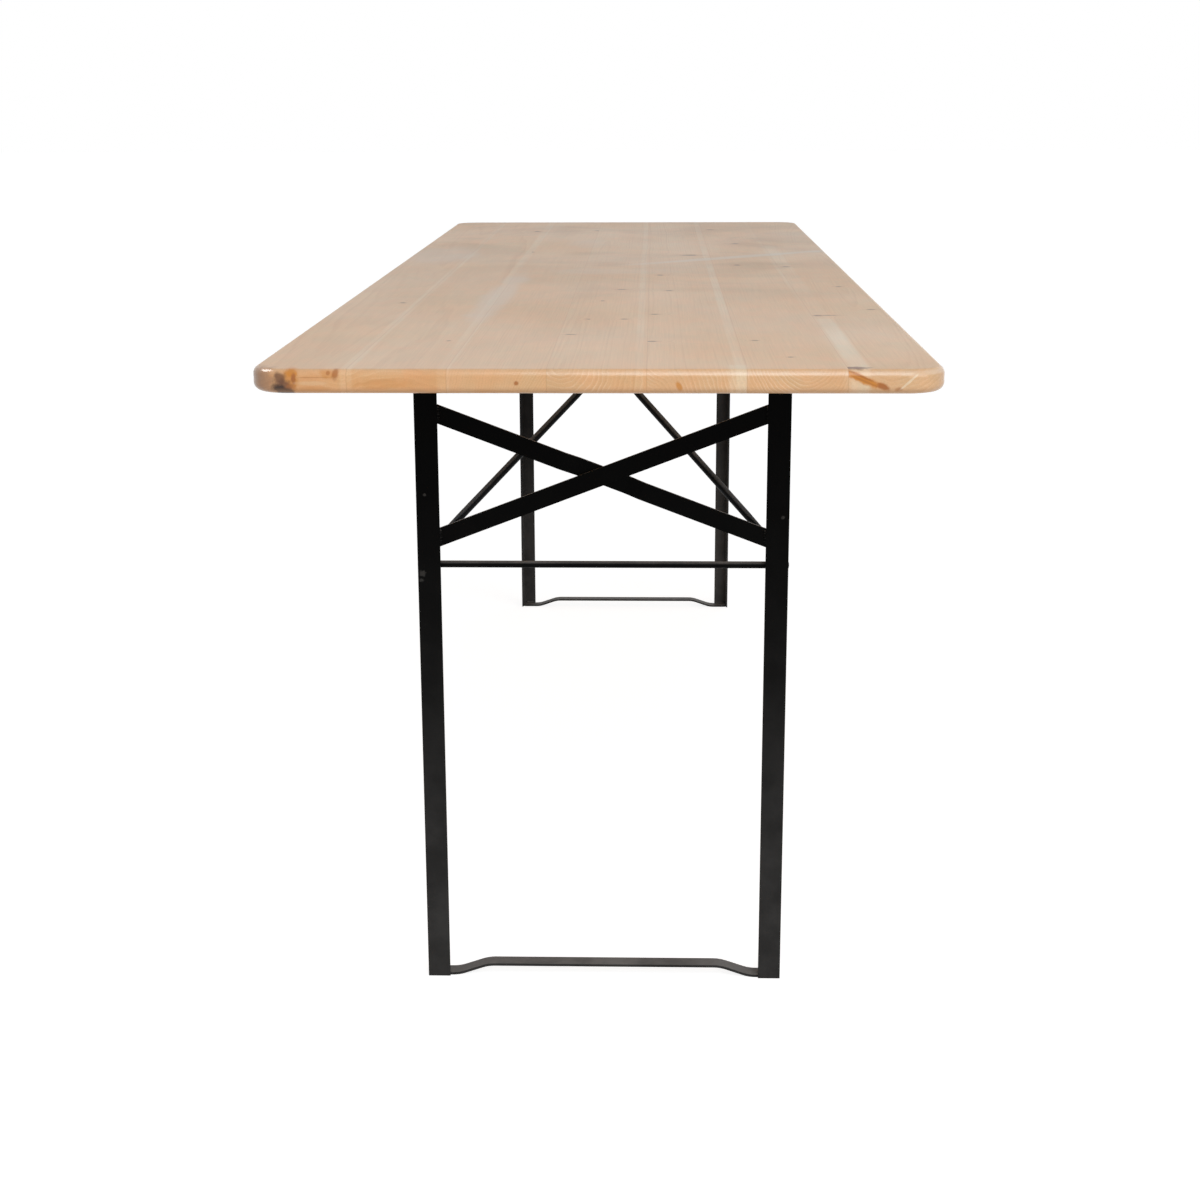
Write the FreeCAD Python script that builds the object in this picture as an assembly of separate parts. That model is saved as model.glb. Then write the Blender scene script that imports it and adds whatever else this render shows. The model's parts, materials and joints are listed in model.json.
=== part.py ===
import FreeCAD, Part
import math
import os

# Folding trestle table: a glued board top on two hinged angle-iron leg frames, each held
# upright by a bent-rod brace that hooks into a keeper behind a spring catch.
# Millimetres. The origin is on the floor below the middle of the top. +X runs across the
# table, +Y along it from the near end to the far end, and +Z up.

Vector = FreeCAD.Vector

# Table top
TOP_LENGTH = 2200.0
TOP_WIDTH = 700.0
TOP_THICKNESS = 25.0
TABLE_HEIGHT = 760.0
TOP_CORNER_RADIUS = 40.0
TOP_EDGE_ROUND = 8.0
BOARD_COUNT = 7

# Battens under the top
BATTEN_WIDTH = 45.0
BATTEN_THICKNESS = 16.0
BATTEN_SETBACK = 25.0
BATTEN_CHAMFER = 4.0
BATTEN_TO_FRAME = 46.0

# Leg frames, welded from angle and flat bar
FRAME_WIDTH = 420.0
FRAME_INSET = 219.0
ANGLE_FLANGE = 26.0
ANGLE_THICKNESS = 3.0
ANGLE_ROOT_RADIUS = 2.0
ANGLE_TOE_RADIUS = 1.5
LEG_HEAD = 11.0
LEG_SWING_CLEARANCE = 1.0
CROSS_BAR_WIDTH = 20.0
CROSS_BAR_THICKNESS = 4.0
CROSS_BELOW_HINGE = 38.0
CROSS_ABOVE_AXLE = 33.5
BAR_END_CLEARANCE = 1.0
JOGGLE_MARGIN = 3.0
JOGGLE_RAMP = 18.0
JOGGLE_BEND_RADIUS = 4.0
FOOT_BAR_WIDTH = 20.0
FOOT_BAR_THICKNESS = 3.0
FOOT_BAR_RISE = 12.0
FOOT_BAR_BEND_RADIUS = 45.0
FOOT_BAR_END = 10.0
FOOT_BAR_RAMP = 35.0
FOOT_BAR_CORNER_RADIUS = 4.0
WELD_SIZE = 2.5
WELD_END = 1.5

# Leg hinges
HINGE_RIVET_DIAMETER = 8.0
HINGE_RIVET_HEAD_DIAMETER = 13.0
HINGE_RIVET_HEAD_HEIGHT = 3.0
HINGE_RIVET_PLAY = 0.3
RUNNING_CLEARANCE = 0.08
BRACKET_THICKNESS = 3.0
BRACKET_LENGTH = 46.0
BRACKET_REACH = 46.0
BRACKET_BEND_RADIUS = 3.0
BRACKET_SCREW_EDGE = 9.0
EAR_SIDE_GAP = 0.5
EAR_ROOM = 1.5

# Brace, bent from one round rod with flattened eyes
AXLE_DIAMETER = 8.0
AXLE_HEIGHT = 505.0
AXLE_HEAD_DIAMETER = 12.0
AXLE_HEAD_HEIGHT = 1.6
ROD_DIAMETER = 9.0
BRACE_LENGTH = 435.0
TIP_DROP = 19.0
EYE_THICKNESS = 4.5
EYE_SIDE_GAP = 0.5
EYE_ROOM = 2.0
EYE_NECK = 18.0
EYE_NECK_WIDTH = 13.0
EYE_NECK_THICKNESS = 4.2
EYE_BEND_RADIUS = 14.0
EYE_FLAT_RUN = 16.0
EYE_TAPER = 60.0
LOOP_WIDTH = 40.0
LOOP_BEND_RADIUS = 12.0
SHOULDER_TO_TIP = 86.0
SHOULDER_RADIUS = 150.0

# Keeper hook that the brace's loop pulls against
KEEPER_THICKNESS = 3.0
KEEPER_WIDTH = 50.0
KEEPER_LENGTH = 42.0
KEEPER_CORNER_RADIUS = 6.0
KEEPER_BEND_RADIUS = 3.0
KEEPER_SCREW_EDGE = 10.0
HOOK_CLEARANCE = 0.5
HOOK_SIDE_CLEARANCE = 1.0

# Spring catch that keeps the loop in the hook, and the clamp that holds its root
LEAF_THICKNESS = 1.5
LEAF_WIDTH = 24.0
LEAF_REACH = 90.0
LEAF_ROOT_LENGTH = 10.0
LEAF_ROOT_GAP = 0.6
LEAF_BEND_RADIUS = 2.0
TOOTH_GAP = 4.0
TOOTH_RISE = 1.2
TOOTH_HEIGHT = 6.0
CLAMP_THICKNESS = 2.0
CLAMP_LENGTH = 14.0
CLAMP_FLANK = 5.0
CLAMP_FOOT = 15.0
CLAMP_BEND_RADIUS = 1.0
CLAMP_SIDE_GAP = 0.6

# Wood screws
SCREW_DIAMETER = 4.5
SCREW_HEAD_DIAMETER = 8.6
SCREW_HEAD_HEIGHT = 2.4
SCREW_COVER = 9.0
SCREW_HOLE_CLEARANCE = 0.05

# Places that follow from the sizes above, for the near end of the table
UNDERSIDE = TABLE_HEIGHT - TOP_THICKNESS
FLANGE_MIDDLE = ANGLE_FLANGE / 2
LEG_OUTER_FACE = FRAME_WIDTH / 2
LEG_INNER_FACE = LEG_OUTER_FACE - ANGLE_THICKNESS
LEG_INNER_EDGE = LEG_OUTER_FACE - ANGLE_FLANGE
HINGE_Y = FRAME_INSET + FLANGE_MIDDLE - TOP_LENGTH / 2
HINGE_Z = UNDERSIDE - math.hypot(FLANGE_MIDDLE, LEG_HEAD) - LEG_SWING_CLEARANCE
FLANGE_FRONT_Y = HINGE_Y - FLANGE_MIDDLE
FLANGE_BACK_Y = FLANGE_FRONT_Y + ANGLE_THICKNESS
EAR_RADIUS = FLANGE_MIDDLE - ANGLE_THICKNESS - EAR_ROOM
EAR_FACE = LEG_INNER_FACE - EAR_SIDE_GAP
EYE_RADIUS = FLANGE_MIDDLE - ANGLE_THICKNESS - EYE_ROOM
BAR_END = LEG_INNER_FACE - ANGLE_ROOT_RADIUS - BAR_END_CLEARANCE
CROSS_HIGH = HINGE_Z - CROSS_BELOW_HINGE
CROSS_LOW = AXLE_HEIGHT + CROSS_ABOVE_AXLE
CROSS_MIDDLE = (CROSS_HIGH + CROSS_LOW) / 2
CROSS_ANGLE = math.atan2(CROSS_HIGH - CROSS_LOW, 2 * LEG_INNER_EDGE)
TIP_Z = UNDERSIDE - TIP_DROP
BRACE_ANGLE = math.asin((TIP_Z - AXLE_HEIGHT) / BRACE_LENGTH)
TIP_Y = HINGE_Y + BRACE_LENGTH * math.cos(BRACE_ANGLE)
HOOK_RADIUS = ROD_DIAMETER / 2 + HOOK_CLEARANCE
HOOK_Y = TIP_Y - HOOK_RADIUS
HOOK_WIDTH = LOOP_WIDTH - 2 * LOOP_BEND_RADIUS - 2 * HOOK_SIDE_CLEARANCE
TOOTH_Y = TIP_Y + ROD_DIAMETER / 2 + TOOTH_GAP
LEAF_ROOT_Y = TOOTH_Y + LEAF_REACH
LEAF_TOP = UNDERSIDE - LEAF_ROOT_GAP
BATTEN_LENGTH = TOP_WIDTH - 2 * BATTEN_SETBACK
END_BATTEN_Y = FLANGE_FRONT_Y - BATTEN_TO_FRAME - BATTEN_WIDTH / 2
BOARD_WIDTH = TOP_WIDTH / BOARD_COUNT
SCREW_TIP_Z = TABLE_HEIGHT - SCREW_COVER

# A profile drawn in (u, v) and thickened along w: (u, v) becomes (y, z), (x, z) or (x, -y).
PROFILE_YZ = FreeCAD.Rotation(Vector(0, 1, 0), Vector(0, 0, 1), Vector(1, 0, 0), "XYZ")
PROFILE_XZ = FreeCAD.Rotation(Vector(1, 0, 0), Vector(0, 0, 1), Vector(0, -1, 0), "XYZ")
PROFILE_XY = FreeCAD.Rotation(Vector(1, 0, 0), Vector(0, -1, 0), Vector(0, 0, -1), "XYZ")
UP_TO_ACROSS = FreeCAD.Rotation(Vector(0, 0, 1), Vector(1, 0, 0))


def joined(*shapes):
    """One solid from shapes that overlap or meet face to face."""
    return shapes[0].multiFuse(list(shapes[1:])).removeSplitter()


def placed(shape, rotation, x=0.0, y=0.0, z=0.0):
    """The shape turned to the table's axes and moved to its place."""
    shape.Placement = FreeCAD.Placement(Vector(x, y, z), rotation).multiply(shape.Placement)
    return shape


def mirrored(shape, side):
    """A shape made for the right side, on the given side: 1 is right and -1 is left."""
    if side > 0:
        return shape
    return shape.mirror(Vector(0, 0, 0), Vector(1, 0, 0))


def line_edge(start, end):
    """A straight edge, or nothing where the two points are one."""
    if start.isEqual(end, 1e-6):
        return []
    return [Part.LineSegment(start, end).toShape()]


def rounded_path(points, radii):
    """Edges along an open line of points, with an arc of its own radius at each inner point."""
    edges = []
    start = points[0]
    for before, corner, after, radius in zip(points, points[1:], points[2:], radii):
        back = (before - corner).normalize()
        ahead = (after - corner).normalize()
        half = back.getAngle(ahead) / 2
        reach = radius / math.tan(half)
        middle = corner + (back + ahead).normalize() * (radius / math.sin(half) - radius)
        edges += line_edge(start, corner + back * reach)
        edges.append(Part.Arc(corner + back * reach, middle, corner + ahead * reach).toShape())
        start = corner + ahead * reach
    return edges + line_edge(start, points[-1])


def bent_sheet(points, thickness, radii, width):
    """Sheet or flat bar bent along a line of (u, v) points, centred on its width.

    The points lie on one face of the sheet, with its thickness on the right of the line.
    Each inner point has an inside bend radius.
    """
    line = [Vector(u, v, 0) for u, v in points]
    steps = [(after - before).normalize() for before, after in zip(line, line[1:])]
    sides = [Vector(step.y, -step.x, 0) for step in steps]
    back_line = [line[0] + sides[0] * thickness]
    line_radii = []
    back_radii = []
    for corner, before, after, radius in zip(line[1:], sides, sides[1:], radii):
        back_line.append(corner + (before + after) * (thickness / (1 + before.dot(after))))
        turns_right = before.cross(after).z < 0
        line_radii.append(radius + thickness if turns_right else radius)
        back_radii.append(radius if turns_right else radius + thickness)
    back_line.append(line[-1] + sides[-1] * thickness)
    edges = rounded_path(line, line_radii)
    edges += line_edge(line[-1], back_line[-1])
    edges += rounded_path(back_line[::-1], back_radii[::-1])
    edges += line_edge(back_line[0], line[0])
    sheet = Part.Face(Part.Wire(edges)).extrude(Vector(0, 0, width))
    sheet.translate(Vector(0, 0, -width / 2))
    return sheet


def domed_pin(length, diameter, head_diameter, head_height, riveted):
    """A pin from 0 up to its length with a domed head below it, and one above it if riveted."""
    shank = diameter / 2
    head = head_diameter / 2
    dome = (head * head + head_height * head_height) / (2 * head_height)
    slope = math.asin(head / dome) / 2
    bulge_r = dome * math.sin(slope)
    bulge_z = head_height - dome + dome * math.cos(slope)
    low = Part.Arc(Vector(0, 0, -head_height), Vector(bulge_r, 0, -bulge_z), Vector(head, 0, 0)).toShape()
    edges = [low]
    edges += line_edge(Vector(head, 0, 0), Vector(shank, 0, 0))
    edges += line_edge(Vector(shank, 0, 0), Vector(shank, 0, length))
    top = Vector(0, 0, length)
    if riveted:
        top = Vector(0, 0, length + head_height)
        edges += line_edge(Vector(shank, 0, length), Vector(head, 0, length))
        edges.append(Part.Arc(Vector(head, 0, length), Vector(bulge_r, 0, length + bulge_z), top).toShape())
    else:
        edges += line_edge(Vector(shank, 0, length), top)
    edges += line_edge(top, Vector(0, 0, -head_height))
    return Part.Face(Part.Wire(edges)).revolve(Vector(0, 0, 0), Vector(0, 0, 1), 360)


def cross_hole(start_x, length, y, z, diameter):
    """A round cutter across the table."""
    return Part.makeCylinder(diameter / 2, length, Vector(start_x, y, z), Vector(1, 0, 0))


def screws(places):
    """Wood screws driven up into the top, each with its domed head under its (x, y, seat)."""
    shapes = []
    for x, y, seat_z in places:
        shape = domed_pin(SCREW_TIP_Z - seat_z, SCREW_DIAMETER, SCREW_HEAD_DIAMETER, SCREW_HEAD_HEIGHT, False)
        shape.translate(Vector(x, y, seat_z))
        shapes.append(shape)
    return Part.makeCompound(shapes)


def drilled(shape, places):
    """The shape with a hole for the screw at each (x, y, seat)."""
    radius = SCREW_DIAMETER / 2 + SCREW_HOLE_CLEARANCE
    holes = [Part.makeCylinder(radius, SCREW_TIP_Z - seat_z, Vector(x, y, seat_z)) for x, y, seat_z in places]
    return shape.cut(Part.makeCompound(holes))


def at_end(shape, turn):
    """A copy of a near-end shape, turned half round the table for the far end."""
    moved = shape.copy()
    moved.rotate(Vector(0, 0, 0), Vector(0, 0, 1), turn)
    return moved


def places_at_end(places, turn):
    """Screw places of the near end, turned half round for the far end."""
    sign = -1 if turn else 1
    return [(sign * x, sign * y, seat_z) for x, y, seat_z in places]


def bracket_screw_places(side):
    """Three screws in the flat of a hinge bracket: two towards the middle, one beside the ear."""
    seat_z = UNDERSIDE - BRACKET_THICKNESS
    low_x = EAR_FACE - BRACKET_REACH + BRACKET_SCREW_EDGE
    high_x = EAR_FACE - BRACKET_THICKNESS - BRACKET_BEND_RADIUS - BRACKET_SCREW_EDGE
    low_y = HINGE_Y - EAR_RADIUS + BRACKET_SCREW_EDGE
    high_y = HINGE_Y - EAR_RADIUS + BRACKET_LENGTH - BRACKET_SCREW_EDGE
    return [(side * low_x, low_y, seat_z), (side * low_x, high_y, seat_z), (side * high_x, high_y, seat_z)]


def keeper_screw_places():
    """Two screws in the keeper's flat, one each side of the hook."""
    x = KEEPER_WIDTH / 2 - KEEPER_SCREW_EDGE
    y = HOOK_Y - KEEPER_LENGTH + KEEPER_SCREW_EDGE
    return [(side * x, y, UNDERSIDE - KEEPER_THICKNESS) for side in (-1, 1)]


def clamp_foot_start():
    """Distance from the middle of the clamp to the inner end of each flat foot."""
    return LEAF_WIDTH / 2 + CLAMP_SIDE_GAP + CLAMP_FLANK


def clamp_screw_places():
    """One screw in each foot of the clamp."""
    x = clamp_foot_start() + CLAMP_FOOT / 2
    return [(side * x, LEAF_ROOT_Y, UNDERSIDE - CLAMP_THICKNESS) for side in (-1, 1)]


def batten_screw_places(y):
    """One screw through the batten into each board."""
    first = BOARD_WIDTH / 2 - TOP_WIDTH / 2
    return [(first + index * BOARD_WIDTH, y, UNDERSIDE - BATTEN_THICKNESS) for index in range(BOARD_COUNT)]


def boards(places):
    """The rounded top, sawn into its glued boards, with pilot holes for the screws."""
    corner = Vector(-TOP_WIDTH / 2, -TOP_LENGTH / 2, UNDERSIDE)
    slab = Part.makeBox(TOP_WIDTH, TOP_LENGTH, TOP_THICKNESS, corner)
    upright = [edge for edge in slab.Edges if abs(edge.tangentAt(edge.FirstParameter).z) > 0.5]
    slab = slab.makeFillet(TOP_CORNER_RADIUS, upright)
    rims = [edge for edge in slab.Edges if edge.BoundBox.ZLength < TOP_EDGE_ROUND]
    slab = slab.makeFillet(TOP_EDGE_ROUND, rims)
    pieces = []
    for index in range(BOARD_COUNT):
        low_x = index * BOARD_WIDTH - TOP_WIDTH / 2
        corner = Vector(low_x, -TOP_LENGTH / 2, UNDERSIDE)
        board = slab.common(Part.makeBox(BOARD_WIDTH, TOP_LENGTH, TOP_THICKNESS, corner))
        own = [place for place in places if -SCREW_DIAMETER < place[0] - low_x < BOARD_WIDTH + SCREW_DIAMETER]
        pieces.append(drilled(board, own))
    return pieces


def batten(y):
    """A hardwood batten across the boards, chamfered along its lower edges."""
    corner = Vector(-BATTEN_LENGTH / 2, y - BATTEN_WIDTH / 2, UNDERSIDE - BATTEN_THICKNESS)
    bar = Part.makeBox(BATTEN_LENGTH, BATTEN_WIDTH, BATTEN_THICKNESS, corner)
    low_edges = [edge for edge in bar.Edges if edge.BoundBox.ZMax < UNDERSIDE - BATTEN_THICKNESS / 2]
    return drilled(bar.makeChamfer(BATTEN_CHAMFER, low_edges), batten_screw_places(y))


def leg(side):
    """Angle iron with one flange across the frame and the other on the outside, drilled for its pins."""
    heel = Vector(LEG_OUTER_FACE, FLANGE_FRONT_Y, 0)
    outer_toe = Vector(LEG_OUTER_FACE, FLANGE_FRONT_Y + ANGLE_FLANGE, 0)
    outer_toe_inside = Vector(LEG_INNER_FACE, FLANGE_FRONT_Y + ANGLE_FLANGE, 0)
    root = Vector(LEG_INNER_FACE, FLANGE_BACK_Y, 0)
    front_toe_inside = Vector(LEG_INNER_EDGE, FLANGE_BACK_Y, 0)
    front_toe = Vector(LEG_INNER_EDGE, FLANGE_FRONT_Y, 0)
    inside = [outer_toe, outer_toe_inside, root, front_toe_inside, front_toe]
    edges = rounded_path(inside, [ANGLE_TOE_RADIUS, ANGLE_ROOT_RADIUS, ANGLE_TOE_RADIUS])
    edges += Part.makePolygon([front_toe, heel, outer_toe]).Edges
    angle = Part.Face(Part.Wire(edges)).extrude(Vector(0, 0, HINGE_Z + LEG_HEAD))
    rivet_hole = HINGE_RIVET_DIAMETER + 2 * RUNNING_CLEARANCE
    axle_hole = AXLE_DIAMETER + 2 * RUNNING_CLEARANCE
    angle = angle.cut(cross_hole(LEG_INNER_EDGE, ANGLE_FLANGE, HINGE_Y, HINGE_Z, rivet_hole))
    angle = angle.cut(cross_hole(LEG_INNER_EDGE, ANGLE_FLANGE, HINGE_Y, AXLE_HEIGHT, axle_hole))
    return mirrored(angle, side)


def cross_bar(rises, joggled):
    """A flat bar slanting behind the legs' front flanges. A joggled one steps back over its fellow."""
    length = 2 * BAR_END / math.cos(CROSS_ANGLE) + 2 * CROSS_BAR_WIDTH
    points = [(-length / 2, 0), (length / 2, 0)]
    radii = []
    if joggled:
        flat = CROSS_BAR_WIDTH / 2 / math.tan(CROSS_ANGLE) + JOGGLE_MARGIN
        step = [(-flat - JOGGLE_RAMP, 0), (-flat, -CROSS_BAR_THICKNESS),
                (flat, -CROSS_BAR_THICKNESS), (flat + JOGGLE_RAMP, 0)]
        points[1:1] = step
        radii = [JOGGLE_BEND_RADIUS] * len(step)
    bar = placed(bent_sheet(points, CROSS_BAR_THICKNESS, radii, CROSS_BAR_WIDTH), PROFILE_XY)
    bar.rotate(Vector(0, 0, 0), Vector(0, 1, 0), -rises * math.degrees(CROSS_ANGLE))
    bar.translate(Vector(0, FLANGE_BACK_Y, CROSS_MIDDLE))
    height = CROSS_HIGH + CROSS_BAR_WIDTH + length
    ends = Part.makeBox(2 * BAR_END, ANGLE_FLANGE, height, Vector(-BAR_END, FLANGE_BACK_Y, 0))
    return bar.common(ends)


def foot_bar():
    """Flat bar between the legs' outer flanges, cranked up so that only the feet touch the floor."""
    low = FOOT_BAR_THICKNESS
    high = FOOT_BAR_THICKNESS + FOOT_BAR_RISE
    ramp_foot = LEG_INNER_EDGE - FOOT_BAR_END
    ramp_head = ramp_foot - FOOT_BAR_RAMP
    points = [(-LEG_INNER_FACE, low), (-ramp_foot, low), (-ramp_head, high),
              (ramp_head, high), (ramp_foot, low), (LEG_INNER_FACE, low)]
    bar = bent_sheet(points, FOOT_BAR_THICKNESS, [FOOT_BAR_BEND_RADIUS] * 4, FOOT_BAR_WIDTH)
    bar = placed(bar, PROFILE_XZ, y=FLANGE_BACK_Y + FOOT_BAR_WIDTH / 2)
    upright = [edge for edge in bar.Edges if abs(edge.tangentAt(edge.FirstParameter).z) > 0.5]
    return bar.makeFillet(FOOT_BAR_CORNER_RADIUS, upright)


def weld_bead(start, length, direction, room):
    """A quarter-round bead along an inside corner that opens towards room."""
    rod = Part.makeCylinder(WELD_SIZE, length, start, direction)
    space = FreeCAD.BoundBox()
    space.add(start)
    space.add(start + direction * length + room * WELD_SIZE)
    corner = Vector(space.XMin, space.YMin, space.ZMin)
    return rod.common(Part.makeBox(space.XLength, space.YLength, space.ZLength, corner))


def frame_welds():
    """Beads where the crossed bars meet the legs' inner edges, and where the foot bar meets the flanges."""
    beads = []
    bead_height = CROSS_BAR_WIDTH / math.cos(CROSS_ANGLE) - 2 * WELD_END
    foot_length = BAR_END - LEG_INNER_EDGE - 2 * WELD_END
    for side in (-1, 1):
        for middle in (CROSS_LOW, CROSS_HIGH):
            start = Vector(side * LEG_INNER_EDGE, FLANGE_BACK_Y, middle - bead_height / 2)
            beads.append(weld_bead(start, bead_height, Vector(0, 0, 1), Vector(-side, -1, 0)))
        start = Vector(side * (LEG_INNER_EDGE + WELD_END), FLANGE_BACK_Y, FOOT_BAR_THICKNESS)
        beads.append(weld_bead(start, foot_length, Vector(side, 0, 0), Vector(0, 1, 1)))
    return Part.makeCompound(beads)


def hinge_rivets():
    """The two rivets that the legs turn on, headed outside the leg and inside the bracket's ear."""
    start_x = EAR_FACE - BRACKET_THICKNESS - HINGE_RIVET_PLAY
    rivet = domed_pin(LEG_OUTER_FACE - start_x, HINGE_RIVET_DIAMETER,
                      HINGE_RIVET_HEAD_DIAMETER, HINGE_RIVET_HEAD_HEIGHT, True)
    rivet = placed(rivet, UP_TO_ACROSS, start_x, HINGE_Y, HINGE_Z)
    return Part.makeCompound([mirrored(rivet.copy(), side) for side in (-1, 1)])


def brace_axle():
    """The rod through both legs, riveted over outside them, that the brace's eyes turn on."""
    axle = domed_pin(FRAME_WIDTH, AXLE_DIAMETER, AXLE_HEAD_DIAMETER, AXLE_HEAD_HEIGHT, True)
    return placed(axle, UP_TO_ACROSS, -LEG_OUTER_FACE, HINGE_Y, AXLE_HEIGHT)


def hinge_bracket(side):
    """Bent plate screwed under the top. Its ear hangs inside the leg and holds the hinge rivet."""
    low_y = HINGE_Y - EAR_RADIUS
    high_y = low_y + BRACKET_LENGTH
    bend_z = UNDERSIDE - BRACKET_THICKNESS - BRACKET_BEND_RADIUS
    points = [(EAR_FACE - BRACKET_REACH, UNDERSIDE), (EAR_FACE, UNDERSIDE), (EAR_FACE, HINGE_Z - EAR_RADIUS)]
    plate = bent_sheet(points, BRACKET_THICKNESS, [BRACKET_BEND_RADIUS], BRACKET_LENGTH)
    plate = placed(plate, PROFILE_XZ, y=low_y + BRACKET_LENGTH / 2)
    taper = math.atan2(bend_z - HINGE_Z, high_y - HINGE_Y)
    taper -= math.acos(EAR_RADIUS / math.hypot(bend_z - HINGE_Z, high_y - HINGE_Y))
    axis = Vector(EAR_FACE - BRACKET_REACH, HINGE_Y, HINGE_Z)
    ear_points = []
    for angle in (taper, (taper - math.pi) / 2, -math.pi):
        ear_points.append(axis + Vector(0, math.cos(angle), math.sin(angle)) * EAR_RADIUS)
    rest = [ear_points[2], Vector(axis.x, low_y, UNDERSIDE), Vector(axis.x, high_y, UNDERSIDE),
            Vector(axis.x, high_y, bend_z), ear_points[0]]
    edges = [Part.Arc(*ear_points).toShape()] + Part.makePolygon(rest).Edges
    trim = Part.Face(Part.Wire(edges)).extrude(Vector(BRACKET_REACH, 0, 0))
    hole = HINGE_RIVET_DIAMETER + 2 * RUNNING_CLEARANCE
    plate = plate.common(trim).cut(cross_hole(axis.x, BRACKET_REACH, HINGE_Y, HINGE_Z, hole))
    return mirrored(drilled(plate, bracket_screw_places(1)), side)


def rod_section(curve, point, direction):
    """A closed section square to the brace's line, its first axis square to the brace's plane."""
    edge = curve.toShape()
    edge.Placement = FreeCAD.Placement(point, FreeCAD.Rotation(Vector(0, 0, 1), Vector(), direction, "ZXY"))
    return Part.Wire([edge])


def brace():
    """Wishbone bent from one rod: flattened eyes on the axle, slanting arms, and a narrow loop at the tip.

    It is drawn flat, with the axle along X and the tip along +Y, then tilted up to the keeper.
    """
    eye_x = LEG_INNER_FACE - EYE_SIDE_GAP - EYE_THICKNESS / 2
    loop_x = LOOP_WIDTH / 2
    neck = Vector(eye_x, EYE_NECK, 0)
    shoulder = Vector(loop_x, BRACE_LENGTH - SHOULDER_TO_TIP, 0)
    slant = (shoulder - neck).normalize()
    flat_end = neck + slant * EYE_FLAT_RUN
    round_start = flat_end + slant * EYE_TAPER
    loop_corner = Vector(loop_x, BRACE_LENGTH, 0)
    flat = Part.Ellipse(Vector(), EYE_NECK_WIDTH / 2, EYE_NECK_THICKNESS / 2)
    circle = Part.Circle(Vector(), Vector(0, 0, 1), ROD_DIAMETER / 2)

    eye = cross_hole(eye_x - EYE_THICKNESS / 2, EYE_THICKNESS, 0, 0, 2 * EYE_RADIUS)
    neck_path = Part.Wire(rounded_path([Vector(eye_x, 0, 0), neck, flat_end], [EYE_BEND_RADIUS]))
    neck_start = rod_section(flat, Vector(eye_x, 0, 0), Vector(0, 1, 0))
    flat_neck = neck_path.makePipeShell([neck_start], True, False)
    taper = Part.makeLoft([rod_section(flat, flat_end, slant), rod_section(circle, round_start, slant)], True)
    end = joined(eye, flat_neck, taper)
    hole = AXLE_DIAMETER + 2 * RUNNING_CLEARANCE
    end = end.cut(cross_hole(eye_x - EYE_THICKNESS, 2 * EYE_THICKNESS, 0, 0, hole))

    half = [round_start, shoulder, loop_corner]
    other_half = [Vector(-point.x, point.y, 0) for point in reversed(half)]
    radii = [SHOULDER_RADIUS, LOOP_BEND_RADIUS, LOOP_BEND_RADIUS, SHOULDER_RADIUS]
    rod_path = Part.Wire(rounded_path(half + other_half, radii))
    rod = rod_path.makePipeShell([rod_section(circle, round_start, slant)], True, False)
    wishbone = joined(rod, end, mirrored(end, -1))
    wishbone.rotate(Vector(0, 0, 0), Vector(1, 0, 0), math.degrees(BRACE_ANGLE))
    wishbone.translate(Vector(0, HINGE_Y, AXLE_HEIGHT))
    return wishbone


def keeper():
    """Plate under the top with a hook bent down and round the outer side of the brace's loop."""
    flat_end = HOOK_Y - KEEPER_LENGTH
    points = [(flat_end, UNDERSIDE), (HOOK_Y, UNDERSIDE),
              (HOOK_Y, TIP_Z - HOOK_RADIUS), (TIP_Y, TIP_Z - HOOK_RADIUS)]
    hook = bent_sheet(points, KEEPER_THICKNESS, [KEEPER_BEND_RADIUS, HOOK_RADIUS], HOOK_WIDTH)
    hook = placed(hook, PROFILE_YZ)
    flat_length = KEEPER_LENGTH - KEEPER_THICKNESS - KEEPER_BEND_RADIUS
    corner = Vector(-KEEPER_WIDTH / 2, flat_end, UNDERSIDE - KEEPER_THICKNESS)
    plate = Part.makeBox(KEEPER_WIDTH, flat_length, KEEPER_THICKNESS, corner)
    upright = [edge for edge in plate.Edges if abs(edge.tangentAt(edge.FirstParameter).z) > 0.5]
    plate = plate.makeFillet(KEEPER_CORNER_RADIUS, upright)
    return drilled(joined(plate, hook), keeper_screw_places())


def spring_catch():
    """Spring leaf sloping down from its root, with a turned-down tooth inward of the brace's loop."""
    tooth_foot = TIP_Z + TOOTH_RISE
    root_start = LEAF_ROOT_Y - LEAF_ROOT_LENGTH / 2
    points = [(TOOTH_Y, tooth_foot), (TOOTH_Y, tooth_foot + TOOTH_HEIGHT),
              (root_start, LEAF_TOP), (root_start + LEAF_ROOT_LENGTH, LEAF_TOP)]
    leaf = bent_sheet(points, LEAF_THICKNESS, [LEAF_BEND_RADIUS] * 2, LEAF_WIDTH)
    return placed(leaf, PROFILE_YZ)


def catch_clamp():
    """Strap that holds the root of the spring catch against the top."""
    inside_z = LEAF_TOP - LEAF_THICKNESS - LEAF_ROOT_GAP
    pocket = LEAF_WIDTH / 2 + CLAMP_SIDE_GAP
    foot = clamp_foot_start()
    end = foot + CLAMP_FOOT
    points = [(-end, UNDERSIDE), (-foot, UNDERSIDE), (-pocket, inside_z),
              (pocket, inside_z), (foot, UNDERSIDE), (end, UNDERSIDE)]
    strap = bent_sheet(points, CLAMP_THICKNESS, [CLAMP_BEND_RADIUS] * 4, CLAMP_LENGTH)
    return drilled(placed(strap, PROFILE_XZ, y=LEAF_ROOT_Y), clamp_screw_places())


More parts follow.
